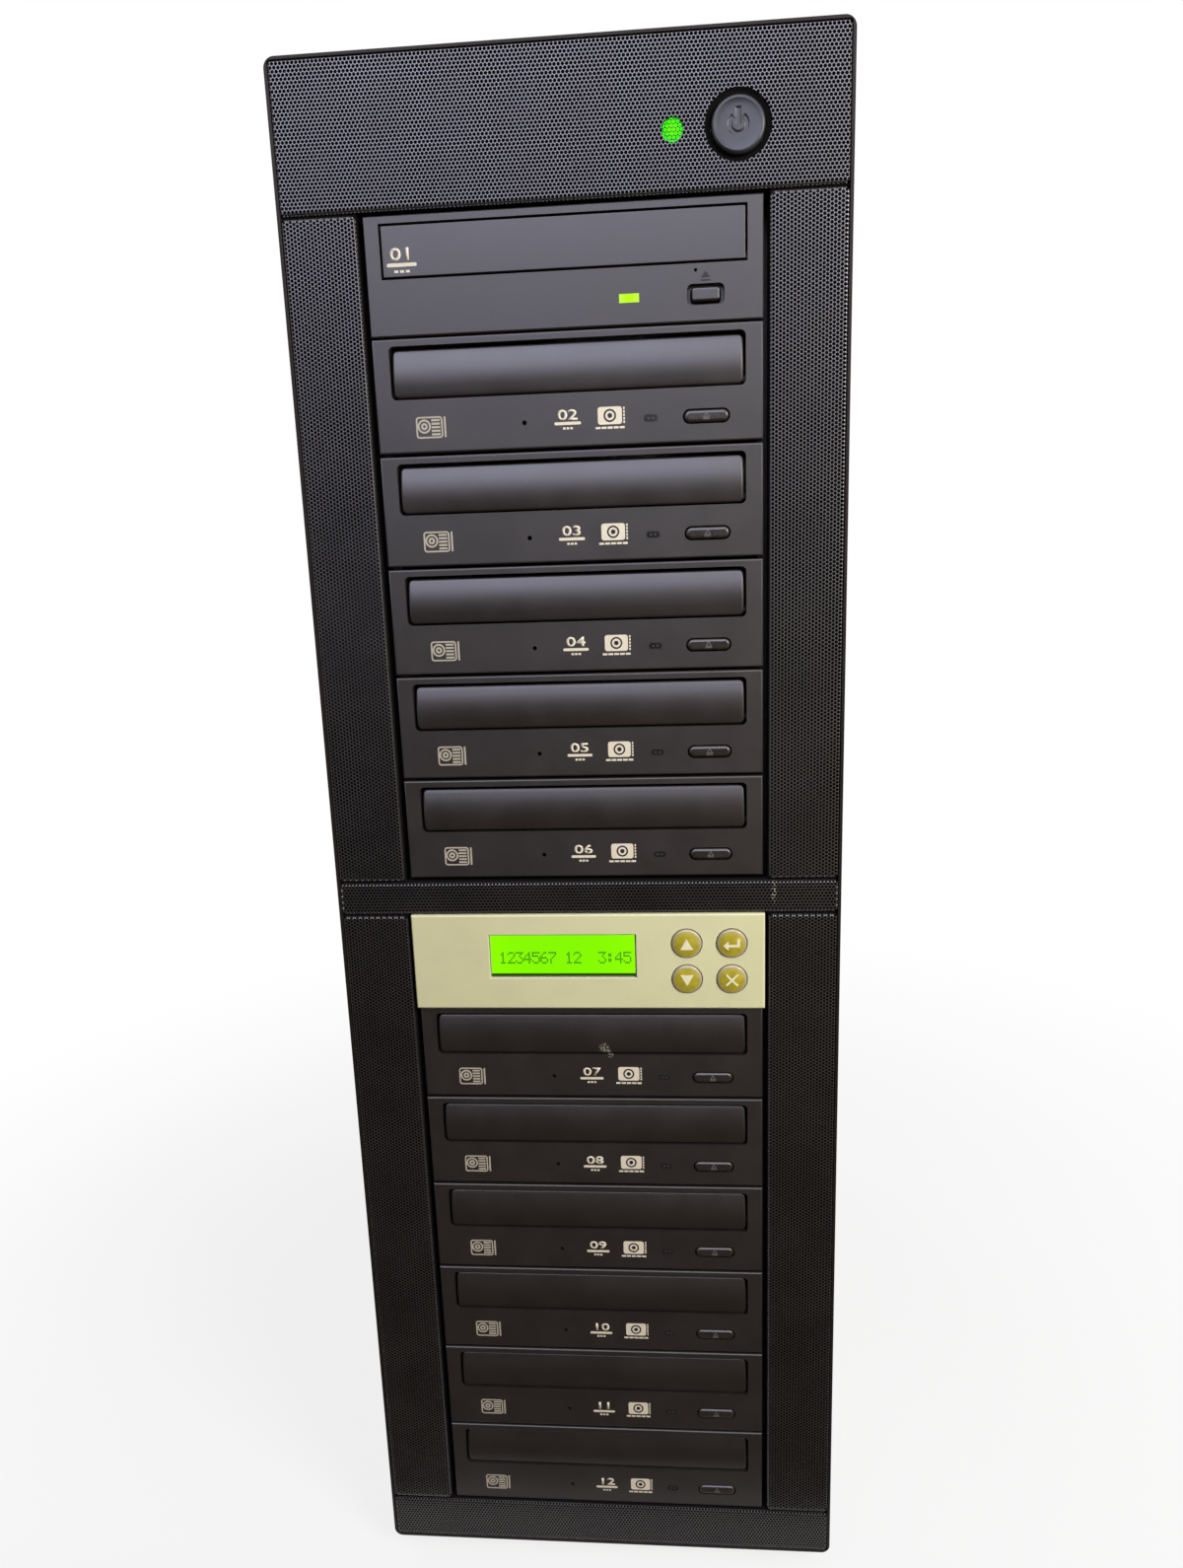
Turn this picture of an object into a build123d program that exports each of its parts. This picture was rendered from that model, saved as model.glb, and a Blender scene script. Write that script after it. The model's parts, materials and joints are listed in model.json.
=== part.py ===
from build123d import *
import os
from math import sqrt

os.makedirs("parts", exist_ok=True)

# Disc duplicator tower: twelve tray drives and a controller in two groups of bays, a
# perforated steel front on a moulded frame, and a sheet steel case with a rear supply.
# X runs to the right, Y into the case and Z up, in millimetres. The origin lies on the
# surface that the tower stands on, at the middle of its outline.

# ---- Fits ----
running_gap = 0.3       # a moving piece and what carries it
seat_gap = 0.15         # a fixed piece in its pocket or hole
bearing_gap = 0.05      # radial, shaft in its bore

# ---- Bays ----
bay_pitch = 43.1
upper_bays = 6
lower_drives = 6        # below the controller
bezel_width = 148.2
bezel_height = 42.0
bezel_depth = 5.0
bezel_chamfer = 0.45
bezel_round = 0.8       # front edges of a burner's bezel
reader_bezel_height = 42.4

# ---- Front face ----
front_width = 212.0
front_corner = 4.0
foot_height = 10.0
bottom_bar = 22.4
middle_bar = 13.7
top_bar = 53.3
opening_width = 152.8
gap_over_upper = 1.2
gap_under_upper = 2.0
gap_over_lower = 0.4
gap_under_lower = 0.8
rim_border = 1.3
frame_wall = 2.0
frame_depth = 20.0      # back of the rim, behind the bezels' faces
face_plate = 2.2
window_wall = 1.6
window_wall_back = 12.0
frame_post = 8.0
frame_post_inset = 22.0
mesh_proud = 1.5        # mesh in front of the bezels' faces
mesh_sheet = 0.8
mesh_fold = 1.8
mesh_corner = 1.2
mesh_groove = 1.0

# ---- Case ----
sheet = 1.0
case_inset = 1.0        # case sides and top inside the front's outline
case_depth = 377.0      # bezels' faces to the outside of the rear flanges
flange = 15.0
side_return = 9.0
rear_flange = 13.0
thumbscrew_head = 6.0
thumbscrew_diameter = 11.0
screw_shank = 3.0
screw_hole = 3.5
screw_head = 6.2
screw_head_height = 1.7
foot_diameter = 32.0
foot_taper = 3.0
foot_inset_x = 24.0
foot_inset_y = 45.0

# ---- Drives ----
drive_width = 146.0
drive_height = 41.3
drive_length = 165.0
cover_sheet = 0.8
cover_drop = 32.0
chassis_floor = 1.5
chassis_wall = 1.8
rail_thickness = 2.0
rail_overlap = 4.5
rear_wall_inset = 3.0
drive_screw_front = 48.0
drive_screw_rear = 127.0
drive_screw_up = 10.0

# ---- Tray ----
tray_width = 129.0
tray_length = 154.0
tray_thickness = 7.0
tray_drop = 11.0        # tray's top below the bezel's top
tray_web = 2.4
tray_side = 2.5
tray_rear_corner = 6.0
disc_well = 121.0
disc_well_depth = 1.6
small_well = 81.0
small_well_depth = 1.0
disc_centre = 72.0      # behind the bezel's face, tray in
spindle_slot = 44.0

# ---- Door and slot of a burner and of the reader ----
door_depth = 4.0
door_corner = 2.0
door_crown = 33.0       # radius of a burner door's curved face
door_crown_up = 0.38    # how far up the door its face stands foremost
door_edge = 1.0
slot_top = 2.7
slot_height = 19.5
slot_width = 135.2
slot_gap_side = 0.9
slot_gap_top = 1.2
slot_gap_bottom = 0.6
reader_slot_top = 2.8
reader_slot_height = 19.5
reader_slot_width = 136.6
reader_slot_gap = 0.8

# ---- Eject buttons, lights and the emergency holes ----
button_x = 52.75
button_drop = 32.7
button_width = 17.0
button_height = 4.6
button_gap = 0.45
button_proud = 0.5
button_round = 1.3
reader_button_x = 52.9
reader_button_drop = 33.0
reader_button_width = 10.4
reader_button_height = 4.6
reader_button_corner = 1.0
reader_button_round = 0.7
reader_recess_width = 13.8
reader_recess_height = 7.3
reader_recess_corner = 2.0
reader_recess_depth = 3.0
eject_travel = 1.0
burner_light_x = 31.7
burner_light_drop = 32.65
burner_light_width = 5.0
burner_light_height = 2.3
reader_light_x = 24.6
reader_light_drop = 33.05
reader_light_width = 7.4
reader_light_height = 3.1
burner_hole_x = -16.6
burner_hole_drop = 32.4
burner_hole = 1.8
reader_hole_x = 49.3
reader_hole_drop = 24.6
reader_hole = 1.2

# ---- Disc mechanism ----
deck_width = 100.0
deck_length = 110.0
deck_front = 40.0
deck_thickness = 2.0
deck_drop = 27.0        # deck's top below the bezel's top
deck_post = 6.0
motor_diameter = 26.0
turntable_diameter = 28.0
turntable_thickness = 2.9
hub_diameter = 14.8
hub_height = 0.5
spindle_park = 0.5      # hub's top below the disc's seat
clamp_diameter = 32.0
clamp_thickness = 2.8
sled_width = 54.0
sled_top_width = 38.0
sled_length = 26.0
sled_wing = 5.0
sled_height = 8.5
sled_clear = 2.0        # sled above the deck
rod_diameter = 3.0
rod_x = 24.0
rod_length = 58.0
bracket = 2.0
lens_diameter = 6.0
lens_height = 1.0

# ---- Controller ----
controller_width = 149.7
controller_height = 42.4
controller_proud = 2.5
controller_tub = 60.0
tub_wall = 2.0
lcd_x = -10.45
lcd_drop = 18.65
lcd_width = 62.7
lcd_height = 19.5
lcd_recess = 1.1
lcd_frame_side = 9.0
lcd_frame_edge = 7.0
board_depth = 6.0
board_sheet = 1.6
board_width = 138.0
board_height = 36.0
key_left_x = 42.2
key_right_x = 61.0
key_top_drop = 13.0
key_bottom_drop = 28.95
key_diameter = 12.6
key_flange = 1.2
key_flange_rim = 1.2
key_reach = 4.0         # keys' fronts before the bezels' faces
key_dome = 0.9
key_travel = 1.0
switch_size = 6.0

# ---- Power button and light ----
power_inset = 41.0      # button in from the front's right side
power_up = 21.1         # above the upper opening
power_diameter = 19.5
power_ring = 24.0
power_gap = 0.35
power_proud = 0.7
power_edge = 1.4
power_dish = 0.5
power_dish_diameter = 15.0
power_travel = 1.5
power_stem = 9.0
power_light_inset = 64.4
power_light_diameter = 7.4
power_board_depth = 14.0
power_board_height = 22.0
power_board_margin = 6.0
power_post = 5.0

# ---- Fans ----
fan_size = 80.0
fan_depth = 25.0
fan_bore = 76.0
fan_corner = 4.0
fan_hole_spacing = 71.5
fan_hole = 4.3
fan_hub = 36.0
fan_shaft = 6.0
fan_spoke = 5.0
fan_spoke_depth = 3.0
fan_hub_gap = 0.8
fan_front_gap = 1.5
fan_tip_gap = 1.2
fan_blade = 1.6
fan_blade_chord = 19.0
fan_blade_tilt = 42.0
fan_blades = 7
upper_fan_z = 520.0
lower_fan_z = 330.0
grille_slot = 4.2
grille_pitch = 8.2
grille_diameter = 74.0

# ---- Power supply ----
supply_width = 150.0
supply_height = 86.0
supply_depth = 140.0
supply_cut_margin = 5.0
supply_fan_x = -31.0
supply_screw_x = 69.0
supply_screw_z = 37.0
inlet_x = 44.0
inlet_up = 28.0
inlet_width = 28.0
inlet_height = 21.0
inlet_flange = 2.5
inlet_flange_depth = 1.5
inlet_cavity_width = 24.4
inlet_cavity_height = 16.8
inlet_cavity_depth = 17.0
inlet_body_depth = 20.0
inlet_pin_length = 10.0
inlet_pin_pitch = 7.0
inlet_pin_width = 2.0
inlet_pin_height = 4.0
rocker_up = 60.0
rocker_frame_width = 21.0
rocker_frame_height = 15.0
rocker_width = 16.0
rocker_height = 10.6
rocker_depth = 9.0
rocker_tilt = 8.0
rocker_pivot = 2.0
rocker_gap = 0.9        # above and below the rocker, room to tip

# ---- Worked-out heights ----
lower_low = foot_height + bottom_bar
lower_high = lower_low + gap_under_lower + lower_drives * bay_pitch + bezel_height + gap_over_lower
upper_low = lower_high + middle_bar
upper_high = upper_low + gap_under_upper + (upper_bays - 1) * bay_pitch + bezel_height + gap_over_upper
front_top = upper_high + top_bar
front_height = front_top - foot_height
face_middle = (front_top + foot_height) / 2
controller_top = lower_high - gap_over_lower
upper_tops = [upper_high - gap_over_upper - bay * bay_pitch for bay in range(upper_bays)]
lower_tops = [controller_top - (bay + 1) * bay_pitch for bay in range(lower_drives)]
drive_tops = upper_tops + lower_tops
reader_top = drive_tops[0]
burner_tops = drive_tops[1:]

# ---- Worked-out depths, all behind the bezels' faces ----
bezel_face = (key_reach - case_depth - thumbscrew_head) / 2
mesh_front = -mesh_proud
plate_front = mesh_front + mesh_fold
plate_back = plate_front + face_plate
rear_inside = case_depth - 2 * sheet
drive_back = bezel_depth + drive_length
case_half = front_width / 2 - case_inset
power_x = front_width / 2 - power_inset
power_light_x = front_width / 2 - power_light_inset
case_top = front_top - case_inset
inner_half = case_half - sheet
floor_top = foot_height + sheet
roof_bottom = case_top - sheet
drive_top_gap = (bezel_height - drive_height) / 2
cage_half = drive_width / 2 + running_gap
cage_sheet = 1.2


def front(depth):
    """Plane that faces the user, this far behind the bezels' faces."""
    return Plane.XZ.offset(-(bezel_face + depth))


def keep(part, name):
    """Label a finished piece and write it."""
    part.label = name
    export_step(part, f"parts/{name}.step")


def block(x_low, x_high, depth_low, depth_high, z_low, z_high, mode=Mode.ADD):
    """Straight-sided block between two corners, whose X values may come in either order."""
    centre = ((x_low + x_high) / 2, bezel_face + (depth_low + depth_high) / 2, (z_low + z_high) / 2)
    with Locations(centre):
        Box(abs(x_high - x_low), depth_high - depth_low, z_high - z_low, mode=mode)


def rod_back(x, z, depth_low, depth_high, diameter, mode=Mode.ADD):
    """Round bar that runs straight back."""
    with Locations(Location((x, bezel_face + depth_low, z), (-90, 0, 0))):
        Cylinder(diameter / 2, depth_high - depth_low, mode=mode,
                 align=(Align.CENTER, Align.CENTER, Align.MIN))


# ---- Mesh panels and the pockets that hold them: x low, x high, z low, z high ----
mesh_edge = front_width / 2 - rim_border
column_in = opening_width / 2
top_panel_area = (-mesh_edge, mesh_edge, upper_high, front_top - rim_border)
bar_areas = [
    (-mesh_edge, mesh_edge, lower_high, upper_low),
    (-mesh_edge, mesh_edge, foot_height + rim_border, lower_low),
]
column_areas = []
column_pockets = []
for column_low, column_high in [(upper_low, upper_high), (lower_low, lower_high)]:
    for column_left, column_right in [(-mesh_edge, -column_in), (column_in, mesh_edge)]:
        column_areas.append(
            (column_left, column_right, column_low + mesh_groove, column_high - mesh_groove)
        )
        column_pockets.append(
            (column_left, column_right, column_low - mesh_corner, column_high + mesh_corner)
        )
windows = [(upper_low, upper_high), (lower_low, lower_high)]
power_z = upper_high + power_up
power_board_x = (power_x + power_light_x) / 2
power_board_width = power_x - power_light_x + power_diameter + power_board_margin
post_x = front_width / 2 - frame_post_inset
post_heights = [
    lower_low + bay_pitch,
    (lower_low + lower_high) / 2,
    upper_low + bay_pitch,
    (upper_low + upper_high) / 2,
    upper_high - bay_pitch,
]


def crown_back(away):
    """How far a burner door's curved face lies back, this far from its foremost line."""
    return door_crown - sqrt(door_crown**2 - away**2)


def folded_mesh(area):
    """Sheet whose four edges fold back to the frame's face."""
    x_low, x_high, z_low, z_high = area
    centre = ((x_low + x_high) / 2, (z_low + z_high) / 2)
    width = x_high - x_low - 2 * seat_gap
    height = z_high - z_low - 2 * seat_gap
    with BuildSketch(front(mesh_front)) as outline:
        with Locations(centre):
            RectangleRounded(width, height, mesh_corner)
    extrude(outline.sketch, amount=-mesh_fold)
    with BuildSketch(front(mesh_front + mesh_sheet)) as inside:
        with Locations(centre):
            Rectangle(width - 2 * mesh_sheet, height - 2 * mesh_sheet)
    extrude(inside.sketch, amount=-(mesh_fold - mesh_sheet), mode=Mode.SUBTRACT)


# ---- Moulded front frame ----
with BuildPart() as front_frame:
    with BuildSketch(front(mesh_front)):
        with Locations((0, face_middle)):
            RectangleRounded(front_width, front_height, front_corner)
    extrude(amount=-(frame_depth - mesh_front))
    with BuildSketch(front(plate_back)):
        with Locations((0, face_middle)):
            RectangleRounded(
                front_width - 2 * frame_wall,
                front_height - 2 * frame_wall,
                max(front_corner - frame_wall, mesh_corner),
            )
    extrude(amount=-(frame_depth - plate_back), mode=Mode.SUBTRACT)
    with BuildSketch(front(mesh_front)):
        for x_low, x_high, z_low, z_high in [top_panel_area] + bar_areas:
            with Locations(((x_low + x_high) / 2, (z_low + z_high) / 2)):
                RectangleRounded(x_high - x_low, z_high - z_low, mesh_corner)
        for x_low, x_high, z_low, z_high in column_pockets:
            with Locations(((x_low + x_high) / 2, (z_low + z_high) / 2)):
                Rectangle(x_high - x_low, z_high - z_low)
    extrude(amount=-mesh_fold, mode=Mode.SUBTRACT)
    with BuildSketch(front(plate_back)):
        for window_low, window_high in windows:
            with Locations((0, (window_low + window_high) / 2)):
                Rectangle(opening_width + 2 * window_wall, window_high - window_low + 2 * window_wall)
    extrude(amount=-(window_wall_back - plate_back))
    with BuildSketch(front(mesh_front)):
        for window_low, window_high in windows:
            with Locations((0, (window_low + window_high) / 2)):
                Rectangle(opening_width, window_high - window_low)
    extrude(amount=-(frame_depth - mesh_front), mode=Mode.SUBTRACT)
    for post_z in post_heights:
        for side in (-1, 1):
            rod_back(side * post_x, post_z, plate_back, frame_depth, frame_post)
    rod_back(power_x, power_z, plate_front, plate_back, power_diameter + 2 * power_gap, Mode.SUBTRACT)
    rod_back(power_light_x, power_z, plate_front, plate_back,
             power_light_diameter + 2 * seat_gap, Mode.SUBTRACT)
    for board_side in (-1, 1):
        for board_end in (-1, 1):
            rod_back(power_board_x + board_end * (power_board_width - power_post) / 2,
                     power_z + board_side * (power_board_height - power_post) / 2,
                     plate_back, power_board_depth, power_post)
keep(front_frame.part, "front_frame")

with BuildPart() as mesh_top:
    folded_mesh(top_panel_area)
    rod_back(power_x, power_z, mesh_front, plate_front, power_ring, Mode.SUBTRACT)
keep(mesh_top.part, "mesh_top")

with BuildPart() as mesh_bars:
    for bar_area in bar_areas:
        folded_mesh(bar_area)
keep(mesh_bars.part, "mesh_bars")

with BuildPart() as mesh_columns:
    for column_area in column_areas:
        folded_mesh(column_area)
keep(mesh_columns.part, "mesh_columns")

# ---- Power button, its light and the little board behind them ----
with BuildPart() as power_button:
    with BuildSketch(Plane.YZ.offset(power_x)):
        cap_front = bezel_face + mesh_front - power_proud
        cap_back = bezel_face + plate_back + power_travel
        with BuildLine():
            Polyline(
                (cap_front + power_dish, power_z),
                (cap_front + power_dish, power_z + power_dish_diameter / 2 - power_edge),
                (cap_front, power_z + power_dish_diameter / 2),
                (cap_front, power_z + power_diameter / 2 - power_edge),
            )
            RadiusArc(
                (cap_front, power_z + power_diameter / 2 - power_edge),
                (cap_front + power_edge, power_z + power_diameter / 2),
                power_edge,
            )
            Polyline(
                (cap_front + power_edge, power_z + power_diameter / 2),
                (cap_back, power_z + power_diameter / 2),
                (cap_back, power_z),
                (cap_front + power_dish, power_z),
            )
        make_face()
    revolve(axis=Axis((power_x, 0, power_z), (0, 1, 0)))
    rod_back(power_x, power_z, plate_back + power_travel,
             power_board_depth - switch_size / 2 - power_travel - running_gap, power_stem)
keep(power_button.part, "power_button")

with BuildPart() as power_board:
    block(power_board_x - power_board_width / 2, power_board_x + power_board_width / 2,
          power_board_depth, power_board_depth + board_sheet,
          power_z - power_board_height / 2, power_z + power_board_height / 2)
    block(power_x - switch_size / 2, power_x + switch_size / 2,
          power_board_depth - switch_size / 2, power_board_depth,
          power_z - switch_size / 2, power_z + switch_size / 2)
keep(power_board.part, "power_board")

with BuildPart() as power_light:
    rod_back(power_light_x, power_z, mesh_front + mesh_sheet, power_board_depth, power_light_diameter)
keep(power_light.part, "power_light")

# ---- Drive bezels ----
with BuildPart() as reader_bezel:
    with BuildSketch(front(0)):
        with Locations((0, reader_top - reader_bezel_height / 2)):
            Rectangle(bezel_width, reader_bezel_height)
    extrude(amount=-bezel_depth)
    chamfer(reader_bezel.faces().sort_by(Axis.Y)[0].edges(), bezel_chamfer)
    with BuildSketch(front(0)):
        with Locations((0, reader_top - reader_slot_top - reader_slot_height / 2)):
            Rectangle(reader_slot_width, reader_slot_height)
        with Locations((reader_button_x, reader_top - reader_button_drop)):
            RectangleRounded(
                reader_button_width + 2 * button_gap,
                reader_button_height + 2 * button_gap,
                reader_button_corner + button_gap,
            )
        with Locations((reader_light_x, reader_top - reader_light_drop)):
            Rectangle(reader_light_width, reader_light_height)
        with Locations((reader_hole_x, reader_top - reader_hole_drop)):
            Circle(reader_hole / 2)
    extrude(amount=-bezel_depth, mode=Mode.SUBTRACT)
    with BuildSketch(front(0)):
        with Locations((reader_button_x, reader_top - reader_button_drop)):
            RectangleRounded(reader_recess_width, reader_recess_height, reader_recess_corner)
    extrude(amount=-reader_recess_depth, mode=Mode.SUBTRACT)
keep(reader_bezel.part, "reader_bezel")

with BuildPart() as burner_bezels:
    with BuildSketch(front(0)):
        for burner_top in burner_tops:
            with Locations((0, burner_top - bezel_height / 2)):
                Rectangle(bezel_width, bezel_height)
    extrude(amount=-bezel_depth)
    fillet(burner_bezels.faces().group_by(Axis.Y)[0].edges(), bezel_round)
    with BuildSketch(front(0)):
        for burner_top in burner_tops:
            with Locations((0, burner_top - slot_top - slot_height / 2)):
                RectangleRounded(slot_width, slot_height, door_corner)
            with Locations((button_x, burner_top - button_drop)):
                SlotOverall(button_width + 2 * button_gap, button_height + 2 * button_gap)
            with Locations((burner_light_x, burner_top - burner_light_drop)):
                Rectangle(burner_light_width, burner_light_height)
            with Locations((burner_hole_x, burner_top - burner_hole_drop)):
                Circle(burner_hole / 2)
    extrude(amount=-bezel_depth, mode=Mode.SUBTRACT)
keep(burner_bezels.part, "burner_bezels")

with BuildPart() as reader_light:
    block(reader_light_x - reader_light_width / 2, reader_light_x + reader_light_width / 2,
          0, bezel_depth,
          reader_top - reader_light_drop - reader_light_height / 2,
          reader_top - reader_light_drop + reader_light_height / 2)
keep(reader_light.part, "reader_light")

with BuildPart() as burner_lights:
    for burner_top in burner_tops:
        block(burner_light_x - burner_light_width / 2, burner_light_x + burner_light_width / 2,
              0, bezel_depth,
              burner_top - burner_light_drop - burner_light_height / 2,
              burner_top - burner_light_drop + burner_light_height / 2)
keep(burner_lights.part, "burner_lights")

# ---- Drive bodies ----
tray_floor_drop = tray_drop + tray_thickness
rail_drop = tray_floor_drop + running_gap
rail_in = tray_width / 2 - rail_overlap
wall_out = drive_width / 2 - cover_sheet - seat_gap
wall_in = wall_out - chassis_wall
floor_drop = bezel_height - drive_top_gap - chassis_floor

with BuildPart() as drive_covers:
    with BuildSketch(front(bezel_depth)):
        for drive_top in drive_tops:
            cover_top = drive_top - drive_top_gap
            with Locations((0, cover_top - cover_drop / 2)):
                Rectangle(drive_width, cover_drop)
            with Locations((0, cover_top - cover_sheet - cover_drop / 2)):
                Rectangle(drive_width - 2 * cover_sheet, cover_drop, mode=Mode.SUBTRACT)
    extrude(amount=-drive_length)
keep(drive_covers.part, "drive_covers")

with BuildPart() as drive_chassis:
    with BuildSketch(front(bezel_depth)):
        for drive_top in drive_tops:
            chassis_bottom = drive_top - bezel_height + drive_top_gap
            wall_top = drive_top - rail_drop
            wall_middle = (chassis_bottom + wall_top) / 2
            with Locations((0, chassis_bottom + chassis_floor / 2)):
                Rectangle(drive_width, chassis_floor)
            for side in (-1, 1):
                with Locations((side * (wall_in + wall_out) / 2, wall_middle)):
                    Rectangle(wall_out - wall_in, wall_top - chassis_bottom)
                with Locations((side * (rail_in + wall_out) / 2, wall_top - rail_thickness / 2)):
                    Rectangle(wall_out - rail_in, rail_thickness)
    extrude(amount=-drive_length)
    for drive_top in drive_tops:
        block(-wall_out, wall_out, drive_back - rear_wall_inset, drive_back,
              drive_top - floor_drop, drive_top - rail_drop)
keep(drive_chassis.part, "drive_chassis")

# ---- Disc mechanisms: deck, spindle, clamp, sled and its rods ----
disc_seat_drop = tray_drop + disc_well_depth
hub_top_drop = disc_seat_drop + spindle_park
deck_back = deck_front + deck_length
disc_y = bezel_face + disc_centre
rod_drop = deck_drop - sled_clear - sled_wing / 2
rod_front = deck_back - bracket - rod_length
sled_middle = rod_front + rod_length / 2

with BuildPart() as disc_mechanisms:
    for drive_top in drive_tops:
        deck_top = drive_top - deck_drop
        chassis_top = drive_top - floor_drop
        block(-deck_width / 2, deck_width / 2, deck_front, deck_back,
              deck_top - deck_thickness, deck_top)
        for side in (-1, 1):
            for end in (deck_front + deck_post, deck_back - deck_post):
                with Locations((side * (deck_width / 2 - deck_post), bezel_face + end,
                                (chassis_top + deck_top - deck_thickness) / 2)):
                    Cylinder(deck_post / 2, deck_top - deck_thickness - chassis_top)
            for end in (rod_front - bracket, rod_front + rod_length):
                block(side * rod_x - rod_diameter, side * rod_x + rod_diameter, end, end + bracket,
                      deck_top, drive_top - rod_drop + rod_diameter)
decks = disc_mechanisms.part

with BuildPart() as spindles:
    for drive_top in drive_tops:
        deck_top = drive_top - deck_drop
        table_top = drive_top - hub_top_drop - hub_height
        with Locations((0, disc_y, deck_top)):
            Cylinder(motor_diameter / 2, table_top - turntable_thickness - deck_top,
                     align=(Align.CENTER, Align.CENTER, Align.MIN))
        with Locations((0, disc_y, table_top - turntable_thickness)):
            Cylinder(turntable_diameter / 2, turntable_thickness,
                     align=(Align.CENTER, Align.CENTER, Align.MIN))
        with Locations((0, disc_y, table_top)):
            Cylinder(hub_diameter / 2, hub_height, align=(Align.CENTER, Align.CENTER, Align.MIN))

with BuildPart() as clamps:
    for drive_top in drive_tops:
        with Locations((0, disc_y, drive_top - drive_top_gap - cover_sheet - clamp_thickness)):
            Cylinder(clamp_diameter / 2, clamp_thickness,
                     align=(Align.CENTER, Align.CENTER, Align.MIN))

with BuildPart() as sleds:
    for drive_top in drive_tops:
        wing_low = drive_top - deck_drop + sled_clear
        block(-sled_width / 2, sled_width / 2, sled_middle - sled_length / 2,
              sled_middle + sled_length / 2, wing_low, wing_low + sled_wing)
        block(-sled_top_width / 2, sled_top_width / 2, sled_middle - sled_length / 2,
              sled_middle + sled_length / 2, wing_low + sled_wing, wing_low + sled_height)
        with Locations((0, bezel_face + sled_middle, wing_low + sled_height)):
            Cylinder(lens_diameter / 2, lens_height, align=(Align.CENTER, Align.CENTER, Align.MIN))
        for side in (-1, 1):
            rod_back(side * rod_x, drive_top - rod_drop, sled_middle - sled_length / 2,
                     sled_middle + sled_length / 2, rod_diameter + 2 * bearing_gap, Mode.SUBTRACT)

with BuildPart() as sled_rods:
    for drive_top in drive_tops:
        for side in (-1, 1):
            rod_back(side * rod_x, drive_top - rod_drop, rod_front, rod_front + rod_length, rod_diameter)

mechanism_solids = []
for group in (decks, spindles.part, clamps.part, sleds.part, sled_rods.part):
    mechanism_solids += group.solids()
keep(Compound(children=mechanism_solids), "disc_mechanisms")

# ---- Trays with their doors ----
for number, drive_top in enumerate(drive_tops, start=1):
    is_reader = number == 1
    door_top = drive_top - (reader_slot_top + reader_slot_gap if is_reader else slot_top + slot_gap_top)
    door_low = drive_top - (
        reader_slot_top + reader_slot_height - reader_slot_gap
        if is_reader
        else slot_top + slot_height - slot_gap_bottom
    )
    door_half = (
        reader_slot_width / 2 - reader_slot_gap if is_reader else slot_width / 2 - slot_gap_side
    )
    tray_top = drive_top - tray_drop
    tray_back = door_depth + tray_length
    with BuildPart() as tray:
        block(-tray_width / 2, tray_width / 2, door_depth, tray_back,
              tray_top - tray_thickness, tray_top)
        fillet(tray.edges().filter_by(Axis.Z).group_by(Axis.Y)[-1], tray_rear_corner)
        block(-tray_width / 2 + tray_side, tray_width / 2 - tray_side,
              door_depth + tray_side, tray_back - tray_side,
              tray_top - tray_thickness,
              tray_top - disc_well_depth - small_well_depth - tray_web, Mode.SUBTRACT)
        with Locations((0, disc_y, tray_top - disc_well_depth)):
            Cylinder(disc_well / 2, disc_well_depth, mode=Mode.SUBTRACT,
                     align=(Align.CENTER, Align.CENTER, Align.MIN))
        with Locations((0, disc_y, tray_top - disc_well_depth - small_well_depth)):
            Cylinder(small_well / 2, small_well_depth, mode=Mode.SUBTRACT,
                     align=(Align.CENTER, Align.CENTER, Align.MIN))
        with BuildSketch(Plane.XY.offset(tray_top)):
            with Locations((0, disc_y)):
                Circle(spindle_slot / 2)
            slot_back = bezel_face + tray_back
            with Locations((0, (disc_y + slot_back) / 2)):
                Rectangle(spindle_slot, slot_back - disc_y)
        extrude(amount=-tray_thickness, mode=Mode.SUBTRACT)
    with BuildPart() as door:
        with BuildSketch(Plane.YZ.offset(-door_half)):
            with BuildLine():
                door_face = bezel_face
                door_rear = bezel_face + door_depth
                if is_reader:
                    Polyline((door_face, door_low), (door_face, door_top), (door_rear, door_top))
                    Polyline((door_rear, door_top), (door_rear, door_low), (door_face, door_low))
                else:
                    foremost = door_low + door_crown_up * (door_top - door_low)
                    low_face = door_face + crown_back(foremost - door_low)
                    top_face = door_face + crown_back(door_top - foremost)
                    ThreePointArc((low_face, door_low), (door_face, foremost), (top_face, door_top))
                    Polyline((top_face, door_top), (door_rear, door_top), (door_rear, door_low),
                             (low_face, door_low))
            make_face()
        extrude(amount=2 * door_half)
        if not is_reader:
            fillet(door.edges().filter_by(Axis.Y), door_corner)
            fillet(door.faces().sort_by(Axis.Y)[0].edges(), door_edge)
    keep(Compound(children=tray.part.solids() + door.part.solids()), f"tray_{number:02d}")

# ---- Eject buttons ----
for number, drive_top in enumerate(drive_tops, start=1):
    with BuildPart() as eject_button:
        with BuildSketch(front(-button_proud)):
            if number == 1:
                with Locations((reader_button_x, drive_top - reader_button_drop)):
                    RectangleRounded(reader_button_width, reader_button_height, reader_button_corner)
            else:
                with Locations((button_x, drive_top - button_drop)):
                    SlotOverall(button_width, button_height)
        extrude(amount=-(button_proud + bezel_depth - eject_travel))
        fillet(eject_button.faces().sort_by(Axis.Y)[0].edges(),
               reader_button_round if number == 1 else button_round)
    keep(eject_button.part, f"eject_button_{number:02d}")

# ---- Controller ----
controller_low = controller_top - controller_height
controller_middle = controller_top - controller_height / 2
lcd_z = controller_top - lcd_drop
key_places = {
    "key_up": (key_left_x, controller_top - key_top_drop),
    "key_down": (key_left_x, controller_top - key_bottom_drop),
    "key_enter": (key_right_x, controller_top - key_top_drop),
    "key_escape": (key_right_x, controller_top - key_bottom_drop),
}

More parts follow.
